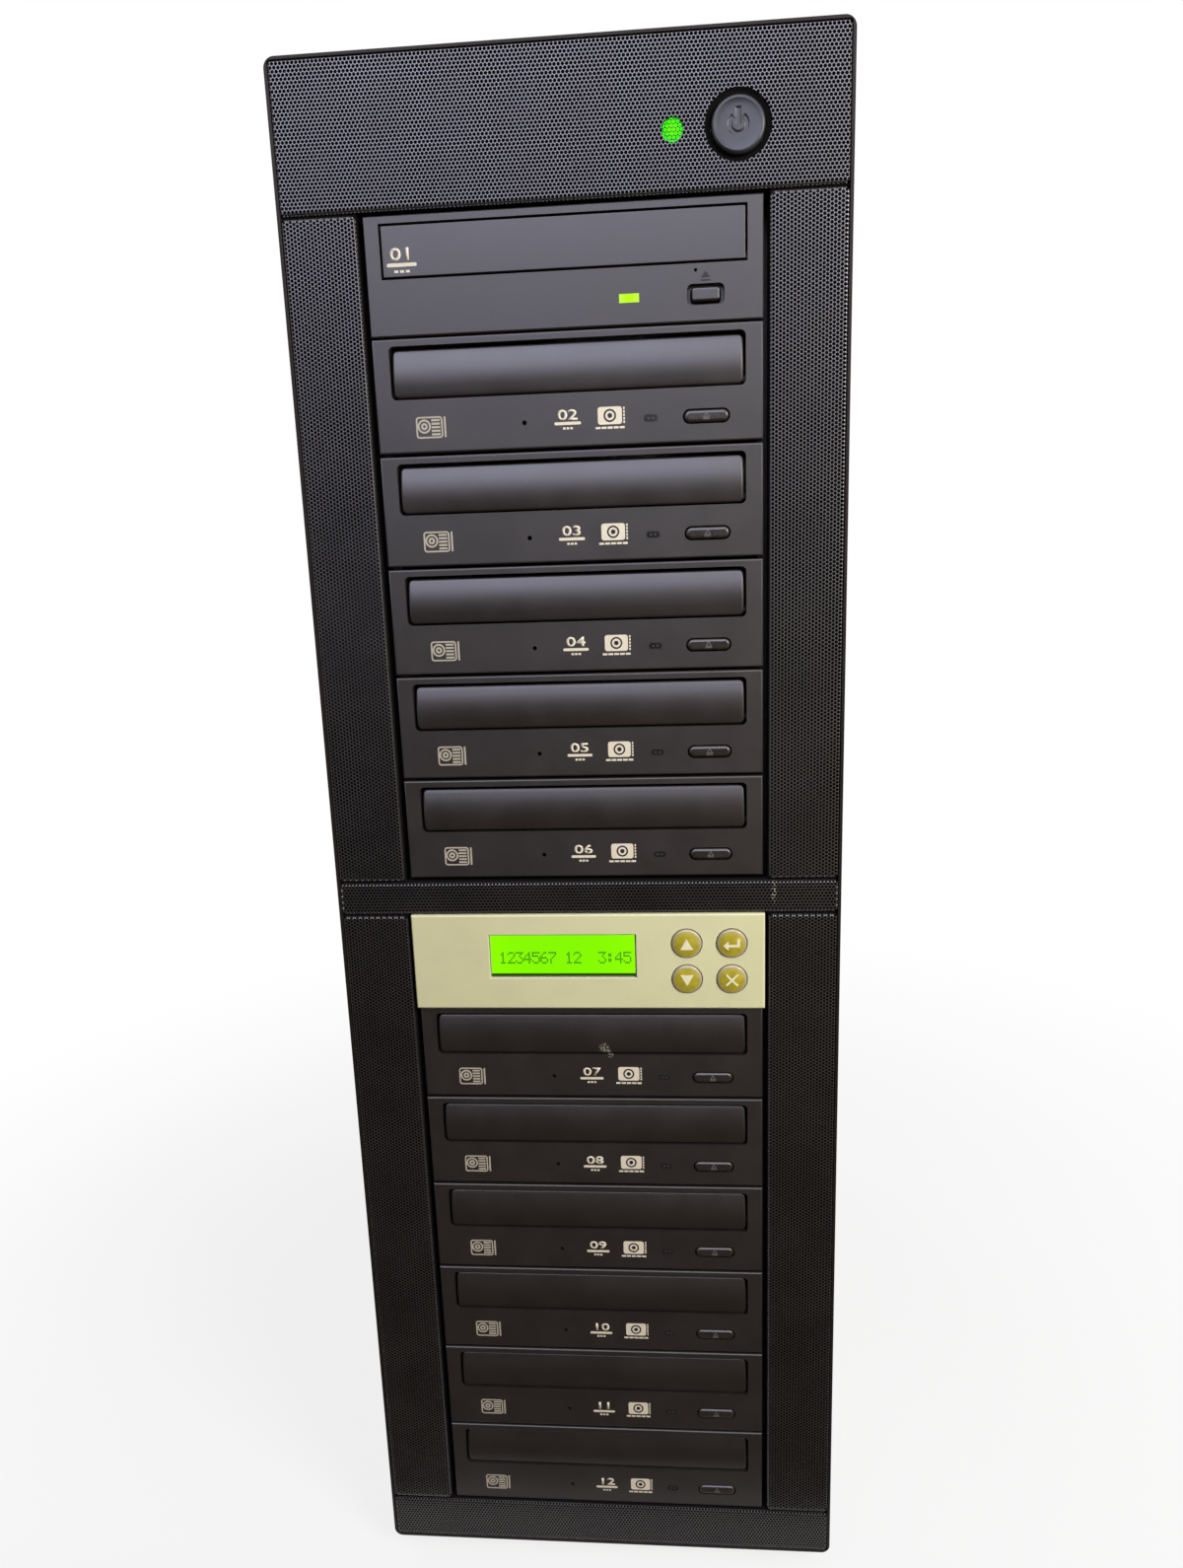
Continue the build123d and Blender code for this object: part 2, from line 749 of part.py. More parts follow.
with BuildPart() as controller_faceplate:
    block(-controller_width / 2, controller_width / 2, -controller_proud, 0,
          controller_low, controller_top)
    chamfer(controller_faceplate.faces().sort_by(Axis.Y)[0].edges(), bezel_chamfer)
    tub_low = controller_middle - drive_height / 2
    tub_high = controller_middle + drive_height / 2
    block(-drive_width / 2, drive_width / 2, 0, controller_tub, tub_low, tub_high)
    block(-drive_width / 2 + tub_wall, drive_width / 2 - tub_wall, 0, controller_tub,
          tub_low + tub_wall, tub_high, Mode.SUBTRACT)
    with BuildSketch(front(-controller_proud)):
        with Locations((lcd_x, lcd_z)):
            Rectangle(lcd_width, lcd_height)
        for key_place in key_places.values():
            with Locations(key_place):
                Circle(key_diameter / 2 + running_gap)
    extrude(amount=-controller_proud, mode=Mode.SUBTRACT)
keep(controller_faceplate.part, "controller_faceplate")

lcd_front = -controller_proud + lcd_recess
with BuildPart() as lcd_module:
    block(lcd_x - lcd_width / 2 + seat_gap, lcd_x + lcd_width / 2 - seat_gap, lcd_front, 0,
          lcd_z - lcd_height / 2 + seat_gap, lcd_z + lcd_height / 2 - seat_gap)
    block(lcd_x - lcd_width / 2 - lcd_frame_side, lcd_x + lcd_width / 2 + lcd_frame_side,
          0, board_depth, lcd_z - lcd_height / 2 - lcd_frame_edge,
          lcd_z + lcd_height / 2 + lcd_frame_edge)
keep(lcd_module.part, "lcd_module")

switch_front = key_flange + 2 * running_gap + key_travel
with BuildPart() as controller_board:
    block(-board_width / 2, board_width / 2, board_depth, board_depth + board_sheet,
          controller_middle - board_height / 2, controller_middle + board_height / 2)
    for key_x, key_z in key_places.values():
        block(key_x - switch_size / 2, key_x + switch_size / 2, switch_front, board_depth,
              key_z - switch_size / 2, key_z + switch_size / 2)
    for side in (-1, 1):
        block(side * board_width / 2, side * (drive_width / 2 - tub_wall),
              board_depth, board_depth + board_sheet,
              controller_middle - switch_size, controller_middle + switch_size)
keep(controller_board.part, "controller_board")

for key_name, (key_x, key_z) in key_places.items():
    with BuildPart() as key:
        rod_back(key_x, key_z, running_gap, running_gap + key_flange, key_diameter + 2 * key_flange_rim)
        rod_back(key_x, key_z, -key_reach + key_dome, running_gap, key_diameter)
        with BuildSketch(Plane.YZ.offset(key_x)):
            dome_base = bezel_face - key_reach + key_dome
            with BuildLine():
                Line((dome_base, key_z), (dome_base, key_z + key_diameter / 2))
                RadiusArc((dome_base, key_z + key_diameter / 2), (dome_base - key_dome, key_z),
                          -((key_diameter / 2) ** 2 + key_dome**2) / (2 * key_dome))
                Line((dome_base - key_dome, key_z), (dome_base, key_z))
            make_face()
        revolve(axis=Axis((key_x, 0, key_z), (0, 1, 0)))
    keep(key.part, key_name)

# ---- Drive cage: a folded pan each side, with the drives' screw holes ----
screw_depths = (bezel_depth + drive_screw_front, bezel_depth + drive_screw_rear)
drive_screws = []
for drive_top in drive_tops:
    for screw_depth in screw_depths:
        screw_z = drive_top - bezel_height + drive_top_gap + drive_screw_up
        drive_screws.append((bezel_face + screw_depth, screw_z))
drive_screws.append((bezel_face + screw_depths[0], tub_low + drive_screw_up))
cage_back = drive_back + cage_sheet
cage_middle = bezel_face + (frame_depth + cage_back) / 2
cage_height = roof_bottom - floor_top
with BuildPart() as drive_cage:
    with BuildSketch(Plane.YZ.offset(cage_half)):
        with Locations((cage_middle, (floor_top + roof_bottom) / 2)):
            Rectangle(cage_back - frame_depth, cage_height)
    extrude(amount=flange)
    with BuildSketch(Plane.YZ.offset(cage_half + cage_sheet)):
        with Locations((cage_middle, (floor_top + roof_bottom) / 2)):
            Rectangle(cage_back - frame_depth - 2 * cage_sheet, cage_height - 2 * cage_sheet)
    extrude(amount=flange - cage_sheet, mode=Mode.SUBTRACT)
    with BuildSketch(Plane.YZ.offset(cage_half)):
        with Locations(*drive_screws):
            Circle(screw_hole / 2)
    extrude(amount=cage_sheet, mode=Mode.SUBTRACT)
    mirror(about=Plane.YZ)
keep(drive_cage.part, "drive_cage")

# ---- Case panels ----
with BuildPart() as base_pan:
    block(-inner_half, inner_half, frame_depth, rear_inside, foot_height, floor_top)
    for side in (-1, 1):
        block(side * inner_half, side * (inner_half - sheet), frame_depth, rear_inside,
              floor_top, floor_top + flange)
keep(base_pan.part, "base_pan")

with BuildPart() as top_panel:
    block(-inner_half, inner_half, frame_depth, rear_inside, roof_bottom, case_top)
    for side in (-1, 1):
        block(side * inner_half, side * (inner_half - sheet), frame_depth, rear_inside,
              roof_bottom - flange, roof_bottom)
keep(top_panel.part, "top_panel")

thumb_x = inner_half - rear_flange / 2
thumb_heights = [foot_height + 2 * flange, (foot_height + case_top) / 2, case_top - 2 * flange]
for side, side_name in ((-1, "left_side_panel"), (1, "right_side_panel")):
    with BuildPart() as side_panel:
        block(side * inner_half, side * case_half, frame_depth, case_depth, foot_height, case_top)
        block(side * (inner_half - rear_flange), side * inner_half, case_depth - sheet, case_depth,
              foot_height, case_top)
        block(side * (inner_half - side_return), side * inner_half, frame_depth, frame_depth + sheet,
              floor_top + flange + sheet, roof_bottom - flange - sheet)
        for thumb_z in thumb_heights:
            rod_back(side * thumb_x, thumb_z, case_depth - sheet, case_depth, screw_hole, Mode.SUBTRACT)
    keep(side_panel.part, side_name)

# ---- Rear panel with two fan grilles and the supply's cut-out ----
supply_low = floor_top
supply_z = supply_low + supply_height / 2
supply_front = rear_inside - supply_depth
fan_heights = (upper_fan_z, lower_fan_z)
supply_screws = [
    (side * supply_screw_x, supply_z + end * supply_screw_z) for side in (-1, 1) for end in (-1, 1)
]
fan_screws = [
    (side * fan_hole_spacing / 2, fan_z + end * fan_hole_spacing / 2)
    for fan_z in fan_heights
    for side in (-1, 1)
    for end in (-1, 1)
]


def grille_slots(x, z):
    """Rows of slots whose ends follow a circle, for a sketch that is open."""
    reach = (grille_diameter - grille_slot) / 2
    rows = int(reach / grille_pitch)
    slots = []
    for row in range(-rows, rows + 1):
        half = sqrt(reach**2 - (row * grille_pitch) ** 2)
        slots.append((x, z + row * grille_pitch, 2 * half + grille_slot))
    return slots


with BuildPart() as rear_panel:
    block(-inner_half, inner_half, rear_inside, rear_inside + sheet, foot_height, case_top)
    with BuildSketch(front(rear_inside)):
        with Locations((0, supply_z)):
            Rectangle(supply_width - 2 * supply_cut_margin, supply_height - 2 * supply_cut_margin)
        for fan_z in fan_heights:
            for slot_x, slot_z, slot_length in grille_slots(0, fan_z):
                with Locations((slot_x, slot_z)):
                    SlotOverall(slot_length, grille_slot)
        with Locations(*supply_screws, *fan_screws):
            Circle(screw_hole / 2)
        for thumb_z in thumb_heights:
            with Locations((-thumb_x, thumb_z), (thumb_x, thumb_z)):
                Circle(screw_hole / 2)
    extrude(amount=-sheet, mode=Mode.SUBTRACT)
keep(rear_panel.part, "rear_panel")

# ---- Power supply ----
inlet_z = supply_low + inlet_up
rocker_z = supply_low + rocker_up
with BuildPart() as power_supply:
    block(-supply_width / 2, supply_width / 2, supply_front, rear_inside,
          supply_low, supply_low + supply_height)
    block(-supply_width / 2 + sheet, supply_width / 2 - sheet, supply_front + sheet,
          rear_inside - sheet, supply_low + sheet, supply_low + supply_height - sheet, Mode.SUBTRACT)
    with BuildSketch(front(rear_inside - sheet)):
        for slot_x, slot_z, slot_length in grille_slots(supply_fan_x, supply_z):
            with Locations((slot_x, slot_z)):
                SlotOverall(slot_length, grille_slot)
        with Locations((inlet_x, inlet_z)):
            Rectangle(inlet_width + 2 * seat_gap, inlet_height + 2 * seat_gap)
        with Locations((inlet_x, rocker_z)):
            Rectangle(rocker_frame_width + 2 * seat_gap, rocker_frame_height + 2 * seat_gap)
        with Locations(*supply_screws):
            Circle(screw_hole / 2)
    extrude(amount=-sheet, mode=Mode.SUBTRACT)
keep(power_supply.part, "power_supply")

inlet_mouth = rear_inside + inlet_flange_depth
inlet_floor = inlet_mouth - inlet_cavity_depth
with BuildPart() as mains_inlet:
    block(inlet_x - inlet_width / 2, inlet_x + inlet_width / 2, inlet_mouth - inlet_body_depth,
          rear_inside, inlet_z - inlet_height / 2, inlet_z + inlet_height / 2)
    block(inlet_x - inlet_width / 2 - inlet_flange, inlet_x + inlet_width / 2 + inlet_flange,
          rear_inside, inlet_mouth,
          inlet_z - inlet_height / 2 - inlet_flange, inlet_z + inlet_height / 2 + inlet_flange)
    block(inlet_x - inlet_cavity_width / 2, inlet_x + inlet_cavity_width / 2, inlet_floor,
          inlet_mouth, inlet_z - inlet_cavity_height / 2, inlet_z + inlet_cavity_height / 2,
          Mode.SUBTRACT)
    for pin in (-1, 0, 1):
        pin_x = inlet_x + pin * inlet_pin_pitch
        block(pin_x - inlet_pin_width / 2, pin_x + inlet_pin_width / 2,
              inlet_floor, inlet_floor + inlet_pin_length,
              inlet_z - inlet_pin_height / 2, inlet_z + inlet_pin_height / 2)
    block(inlet_x - rocker_frame_width / 2, inlet_x + rocker_frame_width / 2,
          rear_inside - rocker_depth - 2 * rocker_pivot, rear_inside,
          rocker_z - rocker_frame_height / 2, rocker_z + rocker_frame_height / 2)
    block(inlet_x - rocker_frame_width / 2 - inlet_flange, inlet_x + rocker_frame_width / 2 + inlet_flange,
          rear_inside, inlet_mouth, rocker_z - rocker_frame_height / 2 - inlet_flange,
          rocker_z + rocker_frame_height / 2 + inlet_flange)
    block(inlet_x - rocker_width / 2 - running_gap, inlet_x + rocker_width / 2 + running_gap,
          rear_inside - rocker_depth - rocker_pivot, inlet_mouth,
          rocker_z - rocker_height / 2 - rocker_gap, rocker_z + rocker_height / 2 + rocker_gap,
          Mode.SUBTRACT)
    with Locations(Location((inlet_x, bezel_face + rear_inside - rocker_pivot, rocker_z), (0, 90, 0))):
        Cylinder(rocker_pivot / 2, rocker_width + 2 * running_gap)
keep(mains_inlet.part, "mains_inlet")

# The rocker tips about the pin that crosses its frame; it is drawn in its on position.
rocker_y = bezel_face + rear_inside - rocker_pivot
with BuildPart() as supply_rocker:
    with BuildSketch(Plane.YZ.offset(inlet_x - rocker_width / 2)):
        with BuildLine():
            Polyline(
                (rocker_y - rocker_pivot, rocker_z - rocker_pivot),
                (rocker_y + rocker_pivot * 2, rocker_z - rocker_height / 2),
                (rocker_y + rocker_pivot, rocker_z),
                (rocker_y + rocker_pivot * 2, rocker_z + rocker_height / 2),
                (rocker_y - rocker_pivot, rocker_z + rocker_pivot),
                close=True,
            )
        make_face()
    extrude(amount=rocker_width)
    with Locations(Location((inlet_x, rocker_y, rocker_z), (0, 90, 0))):
        Cylinder(rocker_pivot / 2 + bearing_gap, rocker_width, mode=Mode.SUBTRACT)
tipped_rocker = supply_rocker.part.rotate(Axis((inlet_x, rocker_y, rocker_z), (1, 0, 0)), rocker_tilt)
keep(tipped_rocker, "supply_rocker")

# ---- Fans: frames with their spokes and shafts, and the rotors ----
fan_places = {
    "upper_fan_rotor": (0, upper_fan_z, rear_inside),
    "lower_fan_rotor": (0, lower_fan_z, rear_inside),
    "supply_fan_rotor": (supply_fan_x, supply_z, rear_inside - sheet),
}
with BuildPart() as case_fans:
    for fan_x, fan_z, fan_back in fan_places.values():
        with BuildSketch(front(fan_back - fan_depth)) as fan_square:
            with Locations((fan_x, fan_z)):
                RectangleRounded(fan_size, fan_size, fan_corner)
                Circle(fan_bore / 2, mode=Mode.SUBTRACT)
                with GridLocations(fan_hole_spacing, fan_hole_spacing, 2, 2):
                    Circle(fan_hole / 2, mode=Mode.SUBTRACT)
        extrude(amount=-fan_depth)
        with BuildSketch(front(fan_back - fan_spoke_depth)) as fan_spokes:
            with Locations((fan_x, fan_z)):
                Circle(fan_hub / 2)
                Rectangle(fan_bore + fan_spoke, fan_spoke)
                Rectangle(fan_spoke, fan_bore + fan_spoke)
        extrude(amount=-fan_spoke_depth)
        rod_back(fan_x, fan_z, fan_back - fan_depth + 2 * fan_front_gap,
                 fan_back - fan_spoke_depth, fan_shaft)
keep(case_fans.part, "case_fans")

blade_root = fan_hub / 2 - fan_blade
blade_tip = fan_bore / 2 - fan_tip_gap
for rotor_name, (fan_x, fan_z, fan_back) in fan_places.items():
    hub_front = fan_back - fan_depth + fan_front_gap
    hub_back = fan_back - fan_spoke_depth - fan_hub_gap
    blade_y = bezel_face + (hub_front + hub_back) / 2
    with BuildPart() as rotor:
        rod_back(fan_x, fan_z, hub_front, hub_back, fan_hub)
        with Locations(Location((fan_x, blade_y, fan_z), (-90, 0, 0))):
            with PolarLocations((blade_root + blade_tip) / 2, fan_blades):
                Box(blade_tip - blade_root, fan_blade_chord, fan_blade, rotation=(fan_blade_tilt, 0, 0))
        rod_back(fan_x, fan_z, hub_front + fan_front_gap - bearing_gap, hub_back,
                 fan_shaft + 2 * bearing_gap, Mode.SUBTRACT)
    keep(rotor.part, rotor_name)

# ---- Feet ----
foot_x = case_half - foot_inset_x
foot_depths = (frame_depth + foot_inset_y, rear_inside - foot_inset_y)
with BuildPart() as feet:
    for foot_depth in foot_depths:
        for side in (-1, 1):
            with BuildSketch(Plane.XY):
                with Locations((side * foot_x, bezel_face + foot_depth)):
                    Circle(foot_diameter / 2 - foot_taper)
            with BuildSketch(Plane.XY.offset(foot_height)):
                with Locations((side * foot_x, bezel_face + foot_depth)):
                    Circle(foot_diameter / 2)
            loft()
keep(feet.part, "feet")

# ---- Screws ----
with BuildPart() as side_screws:
    with BuildSketch(Plane.YZ.offset(drive_width / 2)):
        with Locations(*drive_screws):
            Circle(screw_shank / 2)
    extrude(amount=running_gap + cage_sheet)
    with BuildSketch(Plane.YZ.offset(cage_half + cage_sheet)):
        with Locations(*drive_screws):
            Circle(screw_head / 2)
    extrude(amount=screw_head_height)
    mirror(about=Plane.YZ)

with BuildPart() as rear_screws:
    rear_face = rear_inside + sheet
    for screw_x, screw_z in supply_screws + fan_screws:
        rod_back(screw_x, screw_z, rear_inside - sheet, rear_face, screw_shank)
        rod_back(screw_x, screw_z, rear_face, rear_face + screw_head_height, screw_head)
    for thumb_z in thumb_heights:
        for side in (-1, 1):
            rod_back(side * thumb_x, thumb_z, rear_inside, case_depth, screw_shank)
            rod_back(side * thumb_x, thumb_z, case_depth, case_depth + thumbscrew_head,
                     thumbscrew_diameter)
keep(Compound(children=side_screws.part.solids() + rear_screws.part.solids()), "case_screws")
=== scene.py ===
"""Disc duplicator tower: its finishes, its fine detail and the studio that it stands in.

Metres, in the frame's own axes: X to the right, Y into the case, Z up.
"""
import bmesh
import bpy
import json
from math import atan2, ceil, cos, degrees, hypot, pi, radians, sin
from mathutils import Matrix, Vector

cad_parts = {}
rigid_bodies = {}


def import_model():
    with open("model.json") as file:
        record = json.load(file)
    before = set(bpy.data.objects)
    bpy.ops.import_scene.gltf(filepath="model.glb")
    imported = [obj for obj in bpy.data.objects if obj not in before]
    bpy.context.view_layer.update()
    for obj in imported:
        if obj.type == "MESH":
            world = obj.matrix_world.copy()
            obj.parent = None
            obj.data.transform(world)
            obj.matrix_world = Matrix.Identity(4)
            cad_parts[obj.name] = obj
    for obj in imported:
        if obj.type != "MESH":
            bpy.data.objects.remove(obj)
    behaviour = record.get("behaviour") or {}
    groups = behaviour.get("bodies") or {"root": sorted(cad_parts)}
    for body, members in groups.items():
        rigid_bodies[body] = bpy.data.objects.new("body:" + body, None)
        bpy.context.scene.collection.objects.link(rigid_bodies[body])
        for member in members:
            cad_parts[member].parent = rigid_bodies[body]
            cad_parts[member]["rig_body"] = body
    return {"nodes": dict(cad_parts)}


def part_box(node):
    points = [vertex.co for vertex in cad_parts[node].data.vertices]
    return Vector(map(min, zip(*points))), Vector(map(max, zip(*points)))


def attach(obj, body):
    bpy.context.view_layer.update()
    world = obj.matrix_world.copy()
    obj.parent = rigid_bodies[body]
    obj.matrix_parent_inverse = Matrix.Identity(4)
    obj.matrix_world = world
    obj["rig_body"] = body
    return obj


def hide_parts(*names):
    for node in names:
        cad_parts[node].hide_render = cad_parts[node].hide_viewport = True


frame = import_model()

bl_info = {
    "name": "Disc duplicator tower",
    "version": (1, 0, 0),
    "blender": (4, 5, 0),
    "location": "View3D > Sidebar > Duplicator",
    "description": "Finishes and fine detail of a disc duplicator tower, and its studio",
    "category": "Object",
}

MM = 0.001
FULL_TURN = 2 * pi
LOW = 0                                         # the near, left, bottom corner of a box
SMOOTH_ANGLE = radians(38)
CUT_SLACK = 0.0001 * MM                         # a cut leaves corners this near it alone
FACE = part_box("reader_bezel")[LOW].y            # the bezels' faces
MESH_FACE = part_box("mesh_top")[LOW].y
DRIVES = range(1, 13)                           # 1 is the reader
EJECT_DROP = 32.7 * MM                          # burner's button below its bezel's top
READER_EJECT_DROP = 33.0 * MM
STAND = Matrix.Rotation(pi / 2, 4, "X")         # drawn flat, stood up to face the user
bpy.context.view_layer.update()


# ---- Settings ----
class MeshSettings(bpy.types.PropertyGroup):
    """The perforated steel front."""

    pitch: bpy.props.FloatProperty(
        name="Hole pitch", description="Between holes along a row", default=1.5 * MM, unit="LENGTH")
    row: bpy.props.FloatProperty(
        name="Row spacing", description="Between rows of holes", default=1.3 * MM, unit="LENGTH")
    hole: bpy.props.FloatProperty(
        name="Hole radius", description="Centre of a hole to its corners", default=0.71 * MM, unit="LENGTH")
    sheet: bpy.props.FloatProperty(
        name="Sheet", description="Thickness of the steel", default=0.45 * MM, unit="LENGTH")
    bend: bpy.props.FloatProperty(
        name="Bend", description="Outside radius of the folded edges", default=0.9 * MM, unit="LENGTH")
    depth: bpy.props.FloatProperty(
        name="Fold depth", description="How far the edges fold back", default=1.7 * MM, unit="LENGTH")


class FinishSettings(bpy.types.PropertyGroup):
    """The tower's colours."""

    plastic: bpy.props.FloatVectorProperty(
        name="Plastic", description="Bezels, doors and frame", subtype="COLOR",
        default=(0.0155, 0.0120, 0.0105))
    steel: bpy.props.FloatVectorProperty(
        name="Mesh paint", description="Paint of the mesh and the case", subtype="COLOR",
        default=(0.0140, 0.0105, 0.0090))
    cream: bpy.props.FloatVectorProperty(
        name="Faceplate", description="The controller's faceplate", subtype="COLOR",
        default=(0.72, 0.71, 0.45))
    key: bpy.props.FloatVectorProperty(
        name="Keys", description="The controller's keys", subtype="COLOR", default=(0.42, 0.35, 0.02))
    mark: bpy.props.FloatVectorProperty(
        name="Marks", description="Printed numbers and symbols", subtype="COLOR", default=(0.80, 0.73, 0.62))
    display: bpy.props.FloatVectorProperty(
        name="Display", description="The display's backlight", subtype="COLOR", default=(0.23, 0.97, 0.0))
    power: bpy.props.FloatVectorProperty(
        name="Power light", description="The lit power light", subtype="COLOR", default=(0.10, 1.0, 0.0))
    reader: bpy.props.FloatVectorProperty(
        name="Reader light", description="The reader's lit lamp", subtype="COLOR", default=(0.47, 0.90, 0.0))


class StageSettings(bpy.types.PropertyGroup):
    """The camera, the floor and the lamps."""

    lens: bpy.props.FloatProperty(
        name="Lens", description="Focal length in millimetres", default=24.897)
    window_power: bpy.props.FloatProperty(
        name="Window", description="Large cool panel above, seen in the gloss alone", default=35.0,
        unit="POWER")
    key_power: bpy.props.FloatProperty(
        name="Main lamp", description="Soft lamp to the right and above", default=9.5, unit="POWER")
    top_power: bpy.props.FloatProperty(
        name="Top lamp", description="Soft lamp overhead", default=5.0, unit="POWER")
    fill_power: bpy.props.FloatProperty(
        name="Fill lamp", description="Weak warm lamp below", default=0.8, unit="POWER")
    rear_power: bpy.props.FloatProperty(
        name="Rear lamps", description="Soft lamps behind and beside", default=14.0, unit="POWER")
    room: bpy.props.FloatProperty(
        name="Room light", description="Light from the room all round", default=0.12)


# ---- Materials ----
class Signal:
    """A value in a material; arithmetic on it adds Math nodes."""

    def __init__(self, finish, socket):
        self.finish = finish
        self.socket = socket

    def maths(self, operation, *terms):
        return self.finish.node("ShaderNodeMath", {"operation": operation}, dict(enumerate(terms)))

    def __add__(self, other):
        return self.maths("ADD", self, other)

    def __sub__(self, other):
        return self.maths("SUBTRACT", self, other)

    def __rsub__(self, other):
        return self.maths("SUBTRACT", other, self)

    def __mul__(self, other):
        return self.maths("MULTIPLY", self, other)

    def __truediv__(self, other):
        return self.maths("DIVIDE", self, other)

    def __pow__(self, other):
        return self.maths("POWER", self, other)

    def __abs__(self):
        return self.maths("ABSOLUTE", self)

    def __lt__(self, other):
        return self.maths("LESS_THAN", self, other)

    __radd__ = __add__
    __rmul__ = __mul__

    def larger(self, other):
        return self.maths("MAXIMUM", self, other)

    def wave(self, period):
        """Rises and falls between 0 and 1, once in every period."""
        return self.maths("SINE", self * (FULL_TURN / period)) * 0.5 + 0.5

    def step(self, low, high):
        """0 below low and 1 above high, smooth between them; low may be the larger."""
        return self.finish.node(
            "ShaderNodeMapRange", {"interpolation_type": "SMOOTHSTEP"},
            {"Value": self, "From Min": low, "From Max": high})


class Finish:
    """A material being put together around its Principled shader."""

    def __init__(self, name, **constants):
        self.material = bpy.data.materials.new(name)
        self.material.use_nodes = True
        self.tree = self.material.node_tree
        self.shader = self.tree.nodes["Principled BSDF"]
        self.place = self.node("ShaderNodeTexCoord", output="Object")
        self.x = self.node("ShaderNodeSeparateXYZ", inputs={0: self.place}, output="X")
        self.y = Signal(self, self.x.socket.node.outputs["Y"])
        self.z = Signal(self, self.x.socket.node.outputs["Z"])
        for socket, value in constants.items():
            self.surface(socket.replace("_", " "), value)

    def node(self, kind, settings=None, inputs=None, output=0):
        """Adds one node: its settings, then its sockets' values or links."""
        made = self.tree.nodes.new(kind)
        for setting, value in (settings or {}).items():
            setattr(made, setting, value)
        for socket, value in (inputs or {}).items():
            self.feed(made.inputs[socket], value)
        return Signal(self, made.outputs[output])

    def feed(self, socket, value):
        if isinstance(value, Signal):
            self.tree.links.new(value.socket, socket)
        elif socket.type == "RGBA" and len(value) == 3:
            socket.default_value = (*value, 1)
        else:
            socket.default_value = value

    def surface(self, socket, value):
        self.feed(self.shader.inputs[socket], value)

    def noise(self, size, detail=2.0, at=None):
        """Cloudy 0 to 1 pattern with lumps of this size in metres."""
        return self.node("ShaderNodeTexNoise", None, {
            "Vector": at or self.place, "Scale": 1 / size, "Detail": detail, "Roughness": 0.55})

    def cells(self, size, feature="F1", output="Distance"):
        return self.node("ShaderNodeTexVoronoi", {"feature": feature},
                         {"Vector": self.place, "Scale": 1 / size}, output)

    def stretched(self, x, y, z):
        """The object's coordinates, drawn out along an axis by a small factor."""
        return self.node("ShaderNodeMapping", None, {"Vector": self.place, "Scale": (x, y, z)})

    def mixed(self, factor, first, second):
        """Blends two colours; the Mix node's sockets for colours are its seventh and eighth."""
        return self.node("ShaderNodeMix", {"data_type": "RGBA"}, {0: factor, 6: first, 7: second}, 2)

    def bumps(self, height, distance, strength=1.0):
        self.surface("Normal", self.node(
            "ShaderNodeBump", None, {"Height": height, "Distance": distance, "Strength": strength}))

    def spot(self, x, z, half_width, half_height):
        """1 at the middle of an oval on the front and 0 at its edge."""
        across = (self.x - x) / half_width
        up = (self.z - z) / half_height
        return (across * across + up * up).step(1.0, 0.0)

    def away(self, centre):
        """Distance from a place on the front."""
        across = self.x - centre.x
        up = self.z - centre.z
        return (across * across + up * up) ** 0.5


def shade(colour, factor):
    return tuple(min(part * factor, 1) for part in colour)


def specks(finish, size, amount):
    """Sparse dust: small dots where a large cloud allows them."""
    dots = finish.cells(size).step(0.16, 0.06)
    thin = finish.noise(size * 5, 3).step(1 - amount, 1.0 - amount * 0.4)
    return dots * thin


def scuffed(finish, places, size, low, high):
    """1 where small ovals of the front are scuffed through, or None without any."""
    worn = None
    for x, z, half_width, half_height in places:
        mask = finish.spot(x, z, half_width, half_height) * finish.noise(size, 4).step(low, high)
        worn = mask if worn is None else worn.larger(mask)
    return worn


def moulded(name, colour, roughness=0.46, scuffs=(), pocket=None, specular=0.5):
    """Spark-eroded plastic: fine grain, clouding, specks of dust, a few scuffs, and painted shade in pockets,
    which are also rougher.
    """
    finish = Finish(name, Specular_IOR_Level=specular)
    cloud = finish.noise(14 * MM, 4)
    fine = finish.noise(0.35 * MM, 2)
    body = finish.mixed(cloud.step(0.3, 0.7), shade(colour, 0.9), shade(colour, 1.12))
    body = finish.mixed(fine.step(0.35, 0.75) * 0.3, body, shade(colour, 1.5))
    body = finish.mixed(specks(finish, 2.2 * MM, 0.34) * 0.5, body, (0.16, 0.15, 0.14))
    worn = scuffed(finish, scuffs, 0.9 * MM, 0.46, 0.58)
    rough = roughness + (cloud - 0.5) * 0.12 + (fine - 0.5) * 0.1
    if worn is not None:
        body = finish.mixed(worn, body, (0.33, 0.30, 0.27))
        rough = rough + worn * 0.25
    if pocket is not None:
        # Painted shade: beyond the pocket depth the plastic is painted far darker, for the shade behind the
        # mesh.
        painted_pocket_shade = finish.y.step(pocket, pocket + 0.3 * MM)
        body = finish.mixed(painted_pocket_shade, body, shade(colour, 0.25))
        rough = rough + painted_pocket_shade * 0.6
    finish.surface("Base Color", body)
    finish.surface("Roughness", rough)
    finish.bumps(fine, 0.03 * MM, 0.45)
    return finish.material


